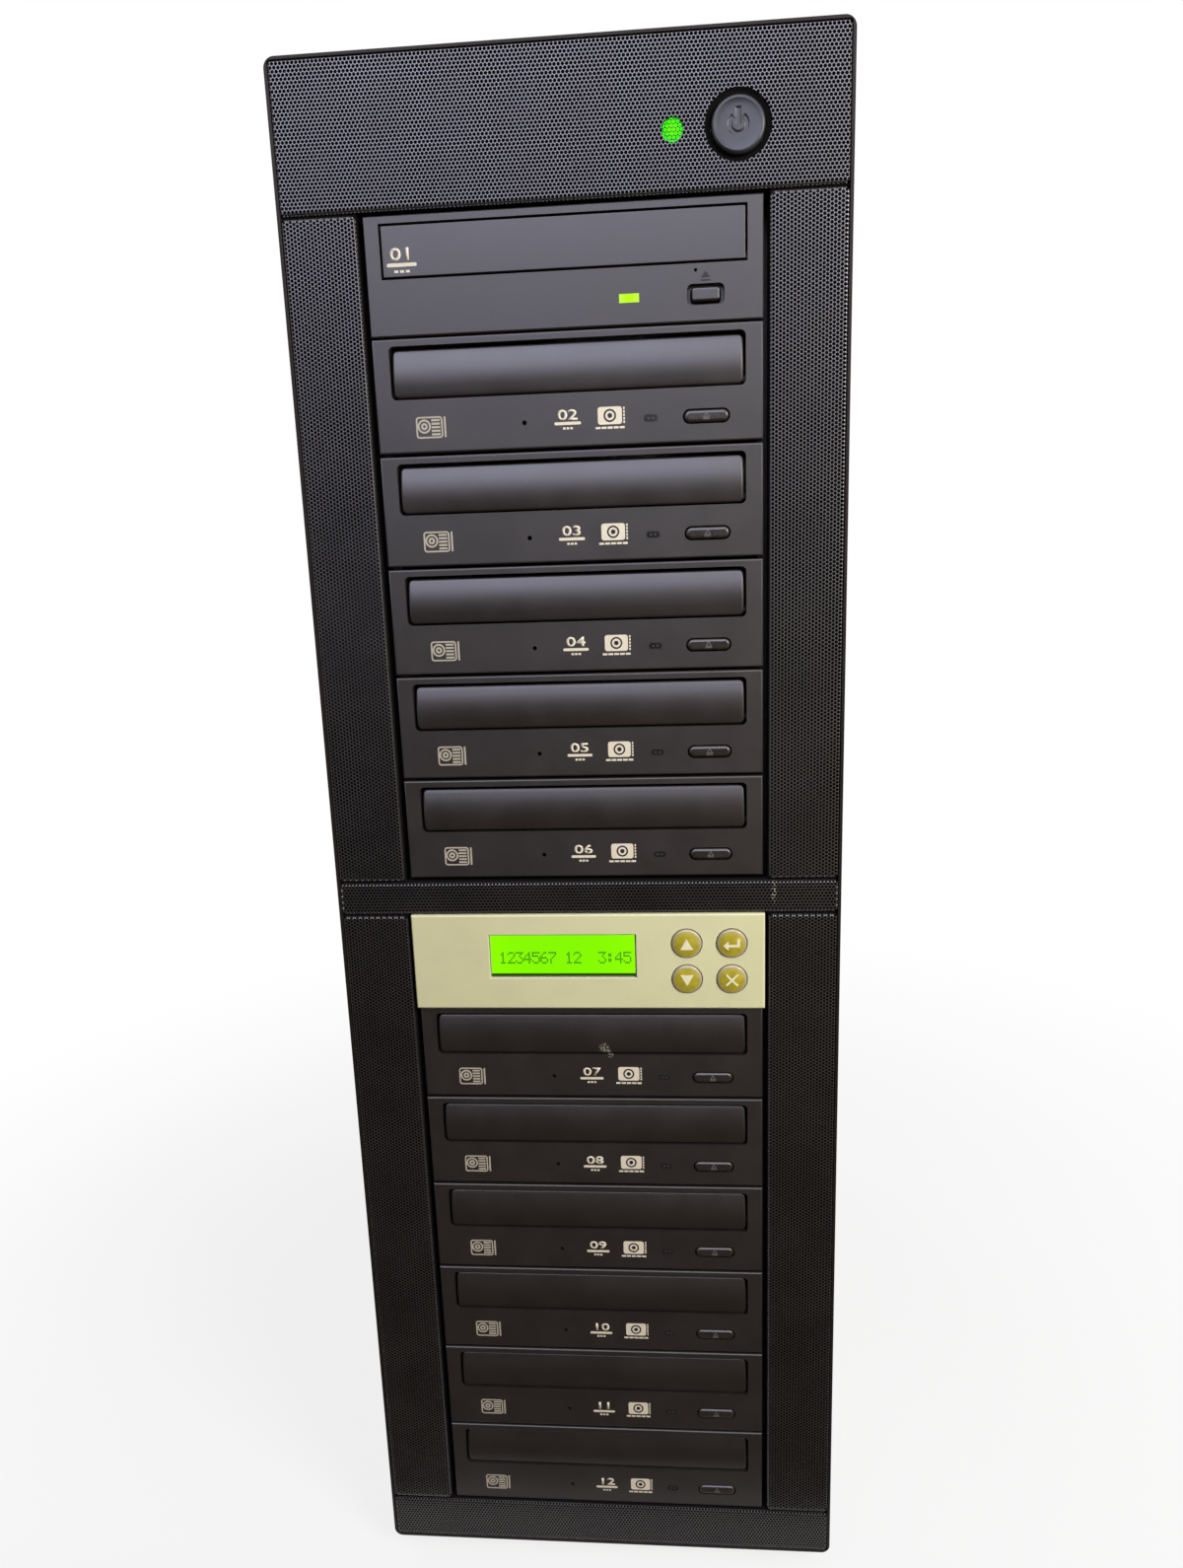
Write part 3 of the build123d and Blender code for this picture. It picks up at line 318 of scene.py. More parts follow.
def painted_steel(name, colour, roughness=0.42, peel=0.5 * MM, relief=0.02 * MM, scuffs=(), specular=0.5,
                  lacquer=0.0, glow=None):
    """Black powder paint: a fine orange peel, soft wear, dust in the low spots and a painted glow where a
    lamp's light spills.

    The glow is the place, reach and colour of a lamp behind the sheet; there the paint is made black, rough
    and uncoated, and glows by itself.
    """
    finish = Finish(name, Specular_IOR_Level=specular, Coat_Weight=lacquer, Coat_Roughness=0.38,
                    Emission_Strength=0.0 if glow is None else 1.0)
    cloud = finish.noise(22 * MM, 4)
    skin = finish.cells(peel, "SMOOTH_F1")
    body = finish.mixed(cloud.step(0.35, 0.7), shade(colour, 0.85), shade(colour, 1.25))
    body = finish.mixed(specks(finish, 2.6 * MM, 0.36) * 0.45, body, (0.15, 0.14, 0.13))
    rough = roughness + (cloud - 0.5) * 0.16
    worn = scuffed(finish, scuffs, 1.1 * MM, 0.44, 0.55)
    if worn is not None:
        body = finish.mixed(worn, body, (0.42, 0.38, 0.33))
        rough = rough + worn * 0.2
    if glow is not None:
        place, reach, light = glow
        # Painted light: round the lamp the sheet is made black and glows green by itself as emission, standing
        # in for its spilt light.
        lit = finish.away(place).step(reach, 0.8 * reach)
        body = finish.mixed(lit, body, (0.0, 0.0, 0.0))
        rough = rough.larger(lit)
        finish.surface("Coat Weight", (1 - lit) * lacquer)
        finish.surface("Emission Color", finish.mixed(lit, (0.0, 0.0, 0.0), light))
    finish.surface("Base Color", body)
    finish.surface("Roughness", rough)
    finish.bumps(skin, relief, 0.5)
    return finish.material


def bare_steel(name, colour=(0.56, 0.565, 0.58), roughness=0.34, spangle=5 * MM):
    """Zinc-plated sheet: crystals, rolling lines and finger marks."""
    finish = Finish(name, Metallic=1.0)
    crystal = finish.cells(spangle, output="Color")
    tone = finish.node("ShaderNodeSeparateXYZ", None, {0: crystal}, "X")
    rolled = finish.noise(0.5 * MM, 2, finish.stretched(1, 0.03, 1))
    smear = finish.noise(30 * MM, 4)
    body = finish.mixed(tone * 0.5, shade(colour, 0.82), shade(colour, 1.12))
    body = finish.mixed(smear.step(0.5, 0.75) * 0.35, body, shade(colour, 0.7))
    finish.surface("Base Color", body)
    finish.surface("Roughness", roughness + tone * 0.08 + (rolled - 0.5) * 0.12 + (smear - 0.5) * 0.2)
    finish.bumps(rolled, 0.012 * MM, 0.4)
    return finish.material


def smooth_plastic(name, colour, roughness=0.26, specular=0.5):
    """Polished plastic with faint handling marks."""
    finish = Finish(name, Specular_IOR_Level=specular)
    smear = finish.noise(7 * MM, 4)
    fine = finish.noise(0.6 * MM, 2)
    finish.surface("Base Color", finish.mixed(smear.step(0.35, 0.7), shade(colour, 0.9), shade(colour, 1.15)))
    finish.surface("Roughness", roughness + (smear - 0.5) * 0.16 + (fine - 0.5) * 0.05)
    finish.bumps(fine, 0.01 * MM, 0.3)
    return finish.material


def lit_lens(name, colour, node, reach, rim, strength=1.0):
    """Lit light pipe: brightest at the node's middle, where its lamp stands behind it."""
    finish = Finish(name, Roughness=0.5, Specular_IOR_Level=0.0, Emission_Strength=strength)
    distance = finish.away(middle(node))
    flicker = finish.cells(1.1 * MM).step(0.1, 0.8)
    glow = finish.mixed(distance.step(0.1 * reach, reach), colour, rim)
    finish.surface("Base Color", shade(colour, 0.1))
    finish.surface("Emission Color", finish.mixed(flicker * 0.3, glow, shade(rim, 0.8)))
    return finish.material


def circuit_board(name):
    """Green solder mask over fine tracks, with tinned pads."""
    finish = Finish(name, Roughness=0.32)
    lanes = finish.x.wave(1.6 * MM).step(0.55, 0.75) * finish.noise(9 * MM, 1).step(0.45, 0.5)
    runs = finish.z.wave(1.9 * MM).step(0.6, 0.8) * finish.noise(7 * MM, 1).step(0.5, 0.55)
    pads = finish.cells(2.3 * MM).step(0.2, 0.14)
    body = finish.mixed(lanes.larger(runs), (0.008, 0.085, 0.03), (0.03, 0.2, 0.07))
    finish.surface("Base Color", finish.mixed(pads, body, (0.6, 0.58, 0.52)))
    finish.surface("Metallic", pads * 0.9)
    finish.bumps(lanes.larger(runs) + pads, 0.03 * MM, 0.6)
    return finish.material


def rubber(name, colour):
    """Dull rubber with a dusty bloom."""
    finish = Finish(name, Specular_IOR_Level=0.25)
    bloom = finish.noise(5 * MM, 4)
    finish.surface("Base Color", finish.mixed(bloom.step(0.45, 0.8), colour, shade(colour, 2.2)))
    finish.surface("Roughness", 0.72 + bloom * 0.2)
    finish.bumps(finish.noise(0.8 * MM, 2), 0.04 * MM, 0.5)
    return finish.material


def ink(name, colour):
    """Printed ink, a little broken where the grain shows through."""
    finish = Finish(name, Specular_IOR_Level=0.25)
    thin = finish.noise(0.45 * MM, 3)
    finish.surface("Base Color", finish.mixed(thin.step(0.5, 0.75) * 0.45, colour, shade(colour, 0.55)))
    finish.surface("Roughness", 0.5 + thin * 0.2)
    return finish.material


def lit_display(name, colour, window):
    """Backlit display: a green field, brighter at its ends, with a faint grid and a shadow at its foot."""
    finish = Finish(name, Roughness=0.35, Specular_IOR_Level=0.1, Emission_Strength=1.0)
    low, high = window
    middle = (low + high) / 2
    ends = abs(finish.x - middle.x) / ((high.x - low.x) / 2)
    edge = abs(finish.z - middle.z) / ((high.z - low.z) / 2)
    grid = finish.x.wave(0.7 * MM) * finish.z.wave(0.7 * MM)
    field = finish.mixed(ends ** 3, shade(colour, 0.97), (0.28, 1.0, 0.0))
    field = finish.mixed(grid * 0.12, field, shade(colour, 0.75))
    shadow = (finish.z - low.z).step(2.0 * MM, 1.5 * MM)
    field = finish.mixed(shadow, field, (0.004, 0.03, 0.0))
    inside = (ends < 0.985) * (edge < 0.95)
    finish.surface("Base Color", finish.mixed(inside, (0.30, 0.27, 0.30), (0.01, 0.03, 0.0)))
    finish.surface("Emission Color", finish.mixed(inside, (0.0, 0.0, 0.0), field))
    return finish.material


def key_cap(name, colour, centre):
    """Domed translucent key: olive at its middle and paler round its foot."""
    finish = Finish(name, Coat_Weight=0.45, Coat_Roughness=0.15)
    distance = finish.away(centre)
    cloud = finish.noise(2.5 * MM, 3)
    body = finish.mixed(cloud.step(0.3, 0.7), shade(colour, 0.9), shade(colour, 1.15))
    body = finish.mixed(distance.step(4.9 * MM, 5.8 * MM), body, (0.38, 0.34, 0.24))
    finish.surface("Base Color", body)
    finish.surface("Roughness", 0.34 + cloud * 0.1)
    return finish.material


# ---- Modelling ----
def linked(name, data):
    """A new object in the scene."""
    made = bpy.data.objects.new(name, data)
    bpy.context.scene.collection.objects.link(made)
    return made


def meshed(bm, name, material):
    """A new object made of a bmesh, which is used up."""
    mesh = bpy.data.meshes.new(name)
    bm.to_mesh(mesh)
    bm.free()
    mesh.materials.append(material)
    return linked(name, mesh)


def put(bm, name, material, body="tower", hides=(), smooth=False):
    """Makes a finished piece of a bmesh, which rides on a body and may stand for CAD pieces."""
    made = meshed(bm, name, material)
    if smooth:
        made.data.shade_smooth()
        made.data.set_sharp_from_angle(angle=SMOOTH_ANGLE)
        weighted = made.modifiers.new("Face normals", "WEIGHTED_NORMAL")
        weighted.keep_sharp = True
    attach(made, body)
    if hides:
        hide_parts(*hides)
    return made


def node_body(node):
    return frame["nodes"][node]["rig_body"]


def node_copy(node):
    """A CAD piece's own shape, its loose triangles joined and its flat faces whole."""
    bm = bmesh.new()
    bm.from_mesh(frame["nodes"][node].data)
    bmesh.ops.remove_doubles(bm, verts=bm.verts, dist=0.001 * MM)
    bmesh.ops.dissolve_limit(bm, angle_limit=radians(0.4), verts=bm.verts, edges=bm.edges)
    return bm


def islands(node):
    """Boxes of a CAD node's separate solids, low ones first."""
    bm = node_copy(node)
    waiting = set(bm.verts)
    boxes = []
    while waiting:
        group = [waiting.pop()]
        for vert in group:
            for edge in vert.link_edges:
                other = edge.other_vert(vert)
                if other in waiting:
                    waiting.remove(other)
                    group.append(other)
        low = Vector([min(vert.co[axis] for vert in group) for axis in range(3)])
        high = Vector([max(vert.co[axis] for vert in group) for axis in range(3)])
        boxes.append((low, high))
    bm.free()
    return sorted(boxes, key=lambda box: (round(box[0].z, 5), round(box[0].x, 5), round(box[0].y, 5)))


def rounded(bm, width, segments=2):
    """Rounds every sharp edge."""
    edges = [edge for edge in bm.edges if edge.is_manifold and edge.calc_face_angle() > SMOOTH_ANGLE]
    bmesh.ops.bevel(bm, geom=edges, offset=width, offset_type="OFFSET", segments=segments,
                    affect="EDGES", profile=0.5, material=-1, clamp_overlap=True)


def softened(node, name, material, width, segments=2):
    """A CAD piece with its sharp edges rounded as moulding or folding leaves them."""
    bm = node_copy(node)
    rounded(bm, width, segments)
    return put(bm, name, material, node_body(node), (node,), smooth=True)


def finished(node, material):
    """Gives a CAD piece, whose shape is right, its finish."""
    data = frame["nodes"][node].data
    data.materials.clear()
    data.materials.append(material)


def middle(node):
    low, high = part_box(node)
    return (low + high) / 2


def drive_top(number):
    """Height of a drive's bezel at its top edge."""
    drop = READER_EJECT_DROP if number == 1 else EJECT_DROP
    return middle(f"eject_button_{number:02d}").z + drop


def spun(bm, profile, segments, centre=(0, 0, 0)):
    """Turns a profile of (radius, depth) points about Y; depth 0 is at the centre."""
    corners = [bm.verts.new(Vector(centre) + Vector((radius, depth, 0))) for radius, depth in profile]
    edges = [bm.edges.new(pair) for pair in zip(corners, corners[1:])]
    bmesh.ops.spin(bm, geom=corners + edges, cent=centre, axis=(0, 1, 0), angle=FULL_TURN,
                   steps=segments, use_merge=True)
    bmesh.ops.remove_doubles(bm, verts=bm.verts, dist=0.002 * MM)


def tidy_normals(bm):
    bmesh.ops.recalc_face_normals(bm, faces=bm.faces)


def stood(bm, depth):
    """Stands a flat drawing up on the plane at this depth, facing the user."""
    bmesh.ops.transform(bm, matrix=Matrix.Translation((0, depth, 0)) @ STAND, verts=bm.verts)


def thickened(bm, faces, height):
    """Raises flat faces into a thin solid that stays closed."""
    grown = bmesh.ops.extrude_face_region(bm, geom=faces, use_keep_orig=True)["geom"]
    tops = [part for part in grown if isinstance(part, bmesh.types.BMVert)]
    bmesh.ops.translate(bm, vec=(0, 0, height), verts=tops)


def flat_bar(bm, x, y, width, height, corner=0.0, segments=3):
    """Rectangle drawn flat, with rounded corners where asked; returns its faces."""
    size = Matrix.Diagonal((width, height, 1, 1))
    made = bmesh.ops.create_grid(bm, x_segments=1, y_segments=1, size=0.5,
                                 matrix=Matrix.Translation((x, y, 0)) @ size)["verts"]
    faces = list({face for vert in made for face in vert.link_faces})
    if corner:
        done = bmesh.ops.bevel(bm, geom=made, offset=corner, offset_type="OFFSET", segments=segments,
                               affect="VERTICES", profile=0.5, material=-1)
        faces = list({face for vert in done["verts"] for face in vert.link_faces})
    return faces


def flat_ring(bm, x, y, outer, inner, segments=24):
    """Flat ring, or a disc where inner is 0; returns its faces."""
    place = Matrix.Translation((x, y, 0))
    rim = bmesh.ops.create_circle(bm, cap_ends=inner == 0, segments=segments, radius=outer, matrix=place)
    if inner == 0:
        return list({face for vert in rim["verts"] for face in vert.link_faces})
    bore = bmesh.ops.create_circle(bm, cap_ends=False, segments=segments, radius=inner, matrix=place)
    edges = list({edge for vert in rim["verts"] + bore["verts"] for edge in vert.link_edges})
    return bmesh.ops.bridge_loops(bm, edges=edges)["faces"]


def flat_shape(bm, points):
    """Closed outline drawn flat and filled; its points run anticlockwise."""
    return [bm.faces.new([bm.verts.new((x, y, 0)) for x, y in points])]


def triangle(x, y, reach):
    """Corners of an upright triangle round its middle, anticlockwise."""
    turns = [FULL_TURN * corner / 3 for corner in (3, 2, 1)]
    return [(x + reach * sin(turn), y + reach * cos(turn)) for turn in turns]


def four_turns(points):
    """Points of an outline that repeats every quarter turn."""
    turns = [Matrix.Rotation(quarter * pi / 2, 2) for quarter in range(4)]
    return [tuple(turn @ Vector(point)) for turn in turns for point in points]


def flat_frame(bm, inner, outer):
    """Flat strip between two closed outlines with as many points each."""
    near, far = ([bm.verts.new((x, y, 0)) for x, y in points] for points in (inner, outer))
    count = len(near)
    for turn in range(count):
        after = (turn + 1) % count
        bm.faces.new((near[turn], far[turn], far[after], near[after]))


def oblong(x, y, width, height, corner, steps=5):
    """Points of a rectangle with round corners, anticlockwise."""
    points = []
    for quarter in range(4):
        side_x, side_y = ((1, 1), (-1, 1), (-1, -1), (1, -1))[quarter]
        for step in range(steps):
            angle = pi / 2 * (quarter + step / (steps - 1))
            points.append((x + side_x * (width / 2 - corner) + corner * cos(angle),
                           y + side_y * (height / 2 - corner) + corner * sin(angle)))
    return points


def flat_number(bm, text, x, y, height, stretch=1.0):
    """Plain bold figures, centred, from Blender's own font."""
    curve = bpy.data.curves.new("figures", "FONT")
    curve.body = text
    curve.align_x = "CENTER"
    curve.align_y = "CENTER"
    curve.size = height * 1.38
    curve.offset = height * 0.03
    curve.resolution_u = 3
    holder = bpy.data.objects.new("figures", curve)
    mesh = bpy.data.meshes.new_from_object(holder)
    mesh.transform(Matrix.Translation((x, y, 0)) @ Matrix.Diagonal((stretch, 1, 1, 1)))
    before = set(bm.faces)
    bm.from_mesh(mesh)
    bpy.data.objects.remove(holder)
    bpy.data.curves.remove(curve)
    bpy.data.meshes.remove(mesh)
    return [face for face in bm.faces if face not in before]


def printed(name, draw, material, depth, body="tower", height=0.05 * MM):
    """Thin printed marks: drawn flat, raised a little and stood on a surface."""
    bm = bmesh.new()
    draw(bm)
    bmesh.ops.remove_doubles(bm, verts=bm.verts, dist=0.005 * MM)
    thickened(bm, bm.faces[:], height)
    stood(bm, depth)
    tidy_normals(bm)
    return put(bm, name, material, body)


# ---- Perforated front ----
def folded_place(value, low, high, bend):
    """Where a point of the flat sheet lies once the edge has been folded: along, and how deep."""
    if value < low + bend:
        side, past = -1, low + bend - value
        start = low + bend
    elif value > high - bend:
        side, past = 1, value - (high - bend)
        start = high - bend
    else:
        return value, 0.0
    arc = bend * pi / 2
    if past < arc:
        return start + side * bend * sin(past / bend), bend * (1 - cos(past / bend))
    return start + side * bend, bend + past - arc


def with_corners(faces):
    """Faces with their edges and corners, as a cut takes them."""
    edges = dict.fromkeys(edge for face in faces for edge in face.edges)
    verts = dict.fromkeys(vert for face in faces for vert in face.verts)
    return faces + list(edges) + list(verts)


def perforated(area, upright, sizes):
    """Flat perforated sheet with strips cut for its edges to fold along, drawn over x low, x high, y low, y
    high.
    """
    x_low, x_high, y_low, y_high = area
    strip = sizes.bend * pi / 2 + sizes.depth - 2 * sizes.bend
    width = x_high - x_low + 2 * strip
    height = y_high - y_low + 2 * strip
    along, across = (height, width) if upright else (width, height)
    columns = ceil(along / sizes.pitch / 2) * 2 + 2
    rows = ceil(across / sizes.row / 2) * 2 + 2
    bm = bmesh.new()
    bmesh.ops.create_grid(bm, x_segments=columns, y_segments=rows, size=0.5)
    for vert in bm.verts:
        row = round((vert.co.y + 0.5) * rows)
        vert.co.x = vert.co.x * columns * sizes.pitch + (row % 2) * sizes.pitch / 2
        vert.co.y = vert.co.y * rows * sizes.row
    bmesh.ops.triangulate(bm, faces=bm.faces, quad_method="SHORT_EDGE")
    inner = [vert for vert in bm.verts if not vert.is_boundary]
    holes = bmesh.ops.bevel(bm, geom=inner, offset=sizes.hole, offset_type="OFFSET", segments=1,
                            affect="VERTICES", profile=0.5, material=-1, clamp_overlap=False)["faces"]
    bmesh.ops.delete(bm, geom=holes, context="FACES")
    if upright:
        bmesh.ops.rotate(bm, cent=(0, 0, 0), matrix=Matrix.Rotation(pi / 2, 3, "Z"), verts=bm.verts)
    bmesh.ops.translate(bm, vec=((x_low + x_high) / 2, (y_low + y_high) / 2, 0), verts=bm.verts)
    for axis, low, high in ((Vector((1, 0, 0)), x_low, x_high), (Vector((0, 1, 0)), y_low, y_high)):
        for place, side in ((low - strip, -1), (high + strip, 1)):
            bmesh.ops.bisect_plane(bm, geom=bm.verts[:] + bm.edges[:] + bm.faces[:], dist=CUT_SLACK,
                                   plane_co=axis * place, plane_no=axis * side, clear_outer=True)
        for place, side in ((low, 1), (high, -1)):
            for turn in (0, 1, 2):
                cut = place + side * (sizes.bend - turn * sizes.bend * pi / 4)
                near = [face for face in bm.faces
                        if abs(face.calc_center_median().dot(axis) - cut) < 2 * sizes.pitch]
                bmesh.ops.bisect_plane(bm, geom=with_corners(near), dist=CUT_SLACK, plane_co=axis * cut,
                                       plane_no=axis)
    corners = []
    for face in bm.faces:
        centre = face.calc_center_median()
        beside = centre.x < x_low + sizes.bend or centre.x > x_high - sizes.bend
        beyond = centre.y < y_low + sizes.bend or centre.y > y_high - sizes.bend
        if beside and beyond:
            corners.append(face)
    bmesh.ops.delete(bm, geom=corners, context="FACES")
    return bm


def fold(bm, area, bend):
    """Folds the sheet's four edges back."""
    x_low, x_high, y_low, y_high = area
    for vert in bm.verts:
        x, x_depth = folded_place(vert.co.x, x_low, x_high, bend)
        y, y_depth = folded_place(vert.co.y, y_low, y_high, bend)
        vert.co = (x, y, -x_depth - y_depth)


def round_hole(bm, centre, radius, steps=48):
    """Cuts a round hole through a flat perforated sheet."""
    for step in range(steps):
        angle = FULL_TURN * step / steps
        outward = Vector((cos(angle), sin(angle), 0))
        near = []
        for face in bm.faces:
            away = face.calc_center_median() - centre
            turned = (atan2(away.y, away.x) - angle + pi) % FULL_TURN - pi
            if abs(away.length - radius) < 2 * MM and abs(turned) <= pi / steps:
                near.append(face)
        bmesh.ops.bisect_plane(bm, geom=with_corners(near), dist=CUT_SLACK,
                               plane_co=centre + outward * radius, plane_no=outward)
    inside = [face for face in bm.faces if (face.calc_center_median() - centre).length < radius]
    bmesh.ops.delete(bm, geom=inside, context="FACES")


class Piece(bpy.types.Operator):
    """What the tower's operators share."""

    bl_options = {"REGISTER", "UNDO"}

    def execute(self, context):
        self.build(context.scene)
        return {"FINISHED"}


class MeshPanels(Piece):
    """Perforated steel panels of the front, with their folded edges."""

    bl_idname = "duplicator.mesh_panels"
    bl_label = "Mesh panels"

    button_hole = 12 * MM
    light_reach = 4.4 * MM

    def build(self, scene):
        sizes = scene.duplicator_mesh
        # The mesh paint glows by itself round the power light: a painted glow of its spilt light.
        paint = painted_steel(
            "Mesh paint", scene.duplicator_finish.steel, 0.42,
            scuffs=[(78.4 * MM, 342.5 * MM, 1.3 * MM, 6 * MM)], specular=0.8, lacquer=0.5,
            glow=(middle("power_light"), self.light_reach, (0.0, 0.10, 0.0)))
        ring = middle("power_button")
        for node in ("mesh_top", "mesh_bars", "mesh_columns"):
            for number, (low, high) in enumerate(islands(node), 1):
                area = (low.x, high.x, low.z, high.z)
                bm = perforated(area, node == "mesh_columns", sizes)
                if node == "mesh_top":
                    round_hole(bm, Vector((ring.x, ring.z, 0)), self.button_hole)
                fold(bm, area, sizes.bend)
                stood(bm, MESH_FACE)
                made = put(bm, f"{node}_sheet_{number}", paint, "tower")
                wall = made.modifiers.new("Sheet", "SOLIDIFY")
                wall.thickness = sizes.sheet
                wall.offset = -1
                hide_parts(node)


class FrontFrame(Piece):
    """Moulded frame that holds the mesh panels."""

    bl_idname = "duplicator.front_frame"
    bl_label = "Front frame"

    def build(self, scene):
        # The pocket paints shade on the frame's plate behind the mesh sheets.
        plastic = moulded("Frame plastic", scene.duplicator_finish.plastic, 0.42,
                          pocket=MESH_FACE + 1.2 * MM, specular=0.1)
        softened("front_frame", "frame_moulding", plastic, 0.35 * MM, 3)


class Bezels(Piece):
    """Bezels of the reader and the burners."""

    bl_idname = "duplicator.bezels"
    bl_label = "Bezels"

    def build(self, scene):
        plastic = moulded("Bezel plastic", scene.duplicator_finish.plastic, 0.44,
                          scuffs=[(8.5 * MM, 268.3 * MM, 1.6 * MM, 1.2 * MM)])
        softened("reader_bezel", "reader_fascia", plastic, 0.3 * MM)
        softened("burner_bezels", "burner_fascias", plastic, 0.3 * MM)


class Trays(Piece):
    """Disc trays with their doors."""

    bl_idname = "duplicator.trays"
    bl_label = "Trays"

    def build(self, scene):
        colour = scene.duplicator_finish.plastic
        plastic = moulded("Door plastic", colour, 0.38,
                          scuffs=[(5.8 * MM, 271.8 * MM, 2.6 * MM, 3 * MM),
                                  (7.4 * MM, 270.0 * MM, 2.4 * MM, 1.4 * MM)])
        for number in DRIVES:
            softened(f"tray_{number:02d}", f"tray_moulding_{number:02d}", plastic, 0.3 * MM)


class EjectButtons(Piece):
    """Eject buttons, with their signs on the burners'."""

    bl_idname = "duplicator.eject_buttons"
    bl_label = "Eject buttons"

    def build(self, scene):
        plastic = smooth_plastic("Button plastic", shade(scene.duplicator_finish.plastic, 1.5), 0.28)
        paint = ink("Button mark", (0.12, 0.12, 0.13))
        for number in DRIVES:
            node = f"eject_button_{number:02d}"
            softened(node, f"eject_cap_{number:02d}", plastic, 0.35 * MM, 3)
            if number == 1:
                continue
            centre = middle(node)

            def draw(bm):
                flat_frame(bm, triangle(centre.x, centre.z, 0.85 * MM),
                           triangle(centre.x, centre.z, 1.5 * MM))
                flat_bar(bm, centre.x, centre.z - 1.15 * MM, 2.6 * MM, 0.28 * MM)

            printed(f"eject_mark_{number:02d}", draw, paint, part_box(node)[LOW].y, node_body(node), 0.04 * MM)


class DriveMarks(Piece):
    """Printed numbers and symbols of the drives, all generic, and painted highlights on the burners' lamps."""

    bl_idname = "duplicator.drive_marks"
    bl_label = "Drive marks"

    # Middles of the marks: across from the bezel's middle, and down from its top.
    door_mark_x = -60.2 * MM
    symbol_x = 52.9 * MM
    disc_mark_x, disc_mark_drop = -53.6 * MM, 32.6 * MM
    tile_x, tile_drop = 16.2 * MM, 31.1 * MM

    def build(self, scene):
        white = ink("White print", scene.duplicator_finish.mark)
        grey = ink("Grey print", shade(scene.duplicator_finish.mark, 0.62))
        dark = ink("Dark print", (0.010, 0.010, 0.012))

        def reader_door(bm):
            z = drive_top(1)
            flat_number(bm, "01", self.door_mark_x, z - 13.8 * MM, 4.4 * MM, 1.5)
            flat_bar(bm, self.door_mark_x, z - 17.3 * MM, 11.4 * MM, 1.3 * MM, 0.55 * MM)
            for place in (-1, 0, 1):
                flat_bar(bm, self.door_mark_x + place * 2.2 * MM, z - 19.6 * MM, 1.5 * MM, 0.9 * MM)

        def reader_symbol(bm):
            z = drive_top(1)
            foot, half = z - 27.3 * MM, 1.7 * MM
            flat_shape(bm, [(self.symbol_x - half, foot), (self.symbol_x + half, foot),
                            (self.symbol_x, z - 25.0 * MM)])
            flat_bar(bm, self.symbol_x, z - 28.2 * MM, 3.4 * MM, 0.5 * MM)

        def caddies(bm):
            for number in DRIVES[1:]:
                x, z = self.disc_mark_x, drive_top(number) - self.disc_mark_drop
                flat_frame(bm, oblong(x, z, 9.2 * MM, 6.8 * MM, 0.6 * MM),
                           oblong(x, z, 10.4 * MM, 8.0 * MM, 1.2 * MM))
                flat_ring(bm, x - 2.0 * MM, z + 0.4 * MM, 2.6 * MM, 1.9 * MM, 28)
                flat_ring(bm, x - 2.0 * MM, z + 0.4 * MM, 1.3 * MM, 0.5 * MM, 20)
                for line in range(5):
                    flat_bar(bm, x + 2.5 * MM, z + (line - 2) * 1.3 * MM, 3.3 * MM, 0.75 * MM)
                flat_bar(bm, x + 6.1 * MM, z, 0.7 * MM, 7.6 * MM)

        def figures(bm):
            for number in DRIVES[1:]:
                z = drive_top(number)
                flat_number(bm, f"{number:02d}", 0, z - 30.4 * MM, 3.8 * MM, 1.5)
                flat_bar(bm, 0, z - 33.3 * MM, 10.2 * MM, 1.1 * MM, 0.45 * MM)
                for place in (-1, 0, 1):
                    flat_bar(bm, place * 1.4 * MM, z - 35.1 * MM, 1.0 * MM, 0.8 * MM)

        def tiles(bm):
            for number in DRIVES[1:]:
                x, z = self.tile_x, drive_top(number) - self.tile_drop
                flat_bar(bm, x, z, 9.2 * MM, 6.4 * MM, 1.0 * MM, 4)
                for place in range(5):
                    flat_bar(bm, x + (place - 2) * 2.3 * MM, z - 4.4 * MM, 1.9 * MM, 0.8 * MM)
                    flat_bar(bm, x + 5.4 * MM, z + (place - 2) * 1.25 * MM, 0.6 * MM, 0.85 * MM)

        def tile_dots(bm):
            for number in DRIVES[1:]:
                z = drive_top(number) - self.tile_drop
                flat_ring(bm, self.tile_x, z, 2.4 * MM, 1.75 * MM)
                flat_ring(bm, self.tile_x, z, 0.9 * MM, 0)

        def lamp_rims(bm):
            for low, high in islands("burner_lights"):
                x, z = (low.x + high.x) / 2, (low.z + high.z) / 2
                width, height = high.x - low.x, high.z - low.z
                flat_frame(bm, oblong(x, z, width - 0.1 * MM, height - 0.1 * MM, height * 0.45),
                           oblong(x, z, width + 0.5 * MM, height + 0.5 * MM, height * 0.6))

        # Painted highlights: two small pale spots printed on each smoky lamp lens.
        def lamp_glints(bm):
            for low, high in islands("burner_lights"):
                x, z = (low.x + high.x) / 2, (low.z + high.z) / 2
                for side in (-1, 1):
                    flat_bar(bm, x + side * 0.85 * MM, z, 0.8 * MM, 0.45 * MM, 0.15 * MM)

        printed("reader_mark", reader_door, white, FACE, "tray_01")
        printed("reader_eject_symbol", reader_symbol, dark, FACE)
        printed("burner_disc_marks", caddies, grey, FACE)
        printed("burner_numbers", figures, white, FACE)
        printed("burner_record_tiles", tiles, white, FACE)
        printed("burner_record_dots", tile_dots, dark, FACE - 0.05 * MM)
        printed("burner_lamp_rims", lamp_rims, dark, FACE)
        printed("burner_lamp_glints", lamp_glints, ink("Lamp glint", (0.06, 0.06, 0.065)), FACE)


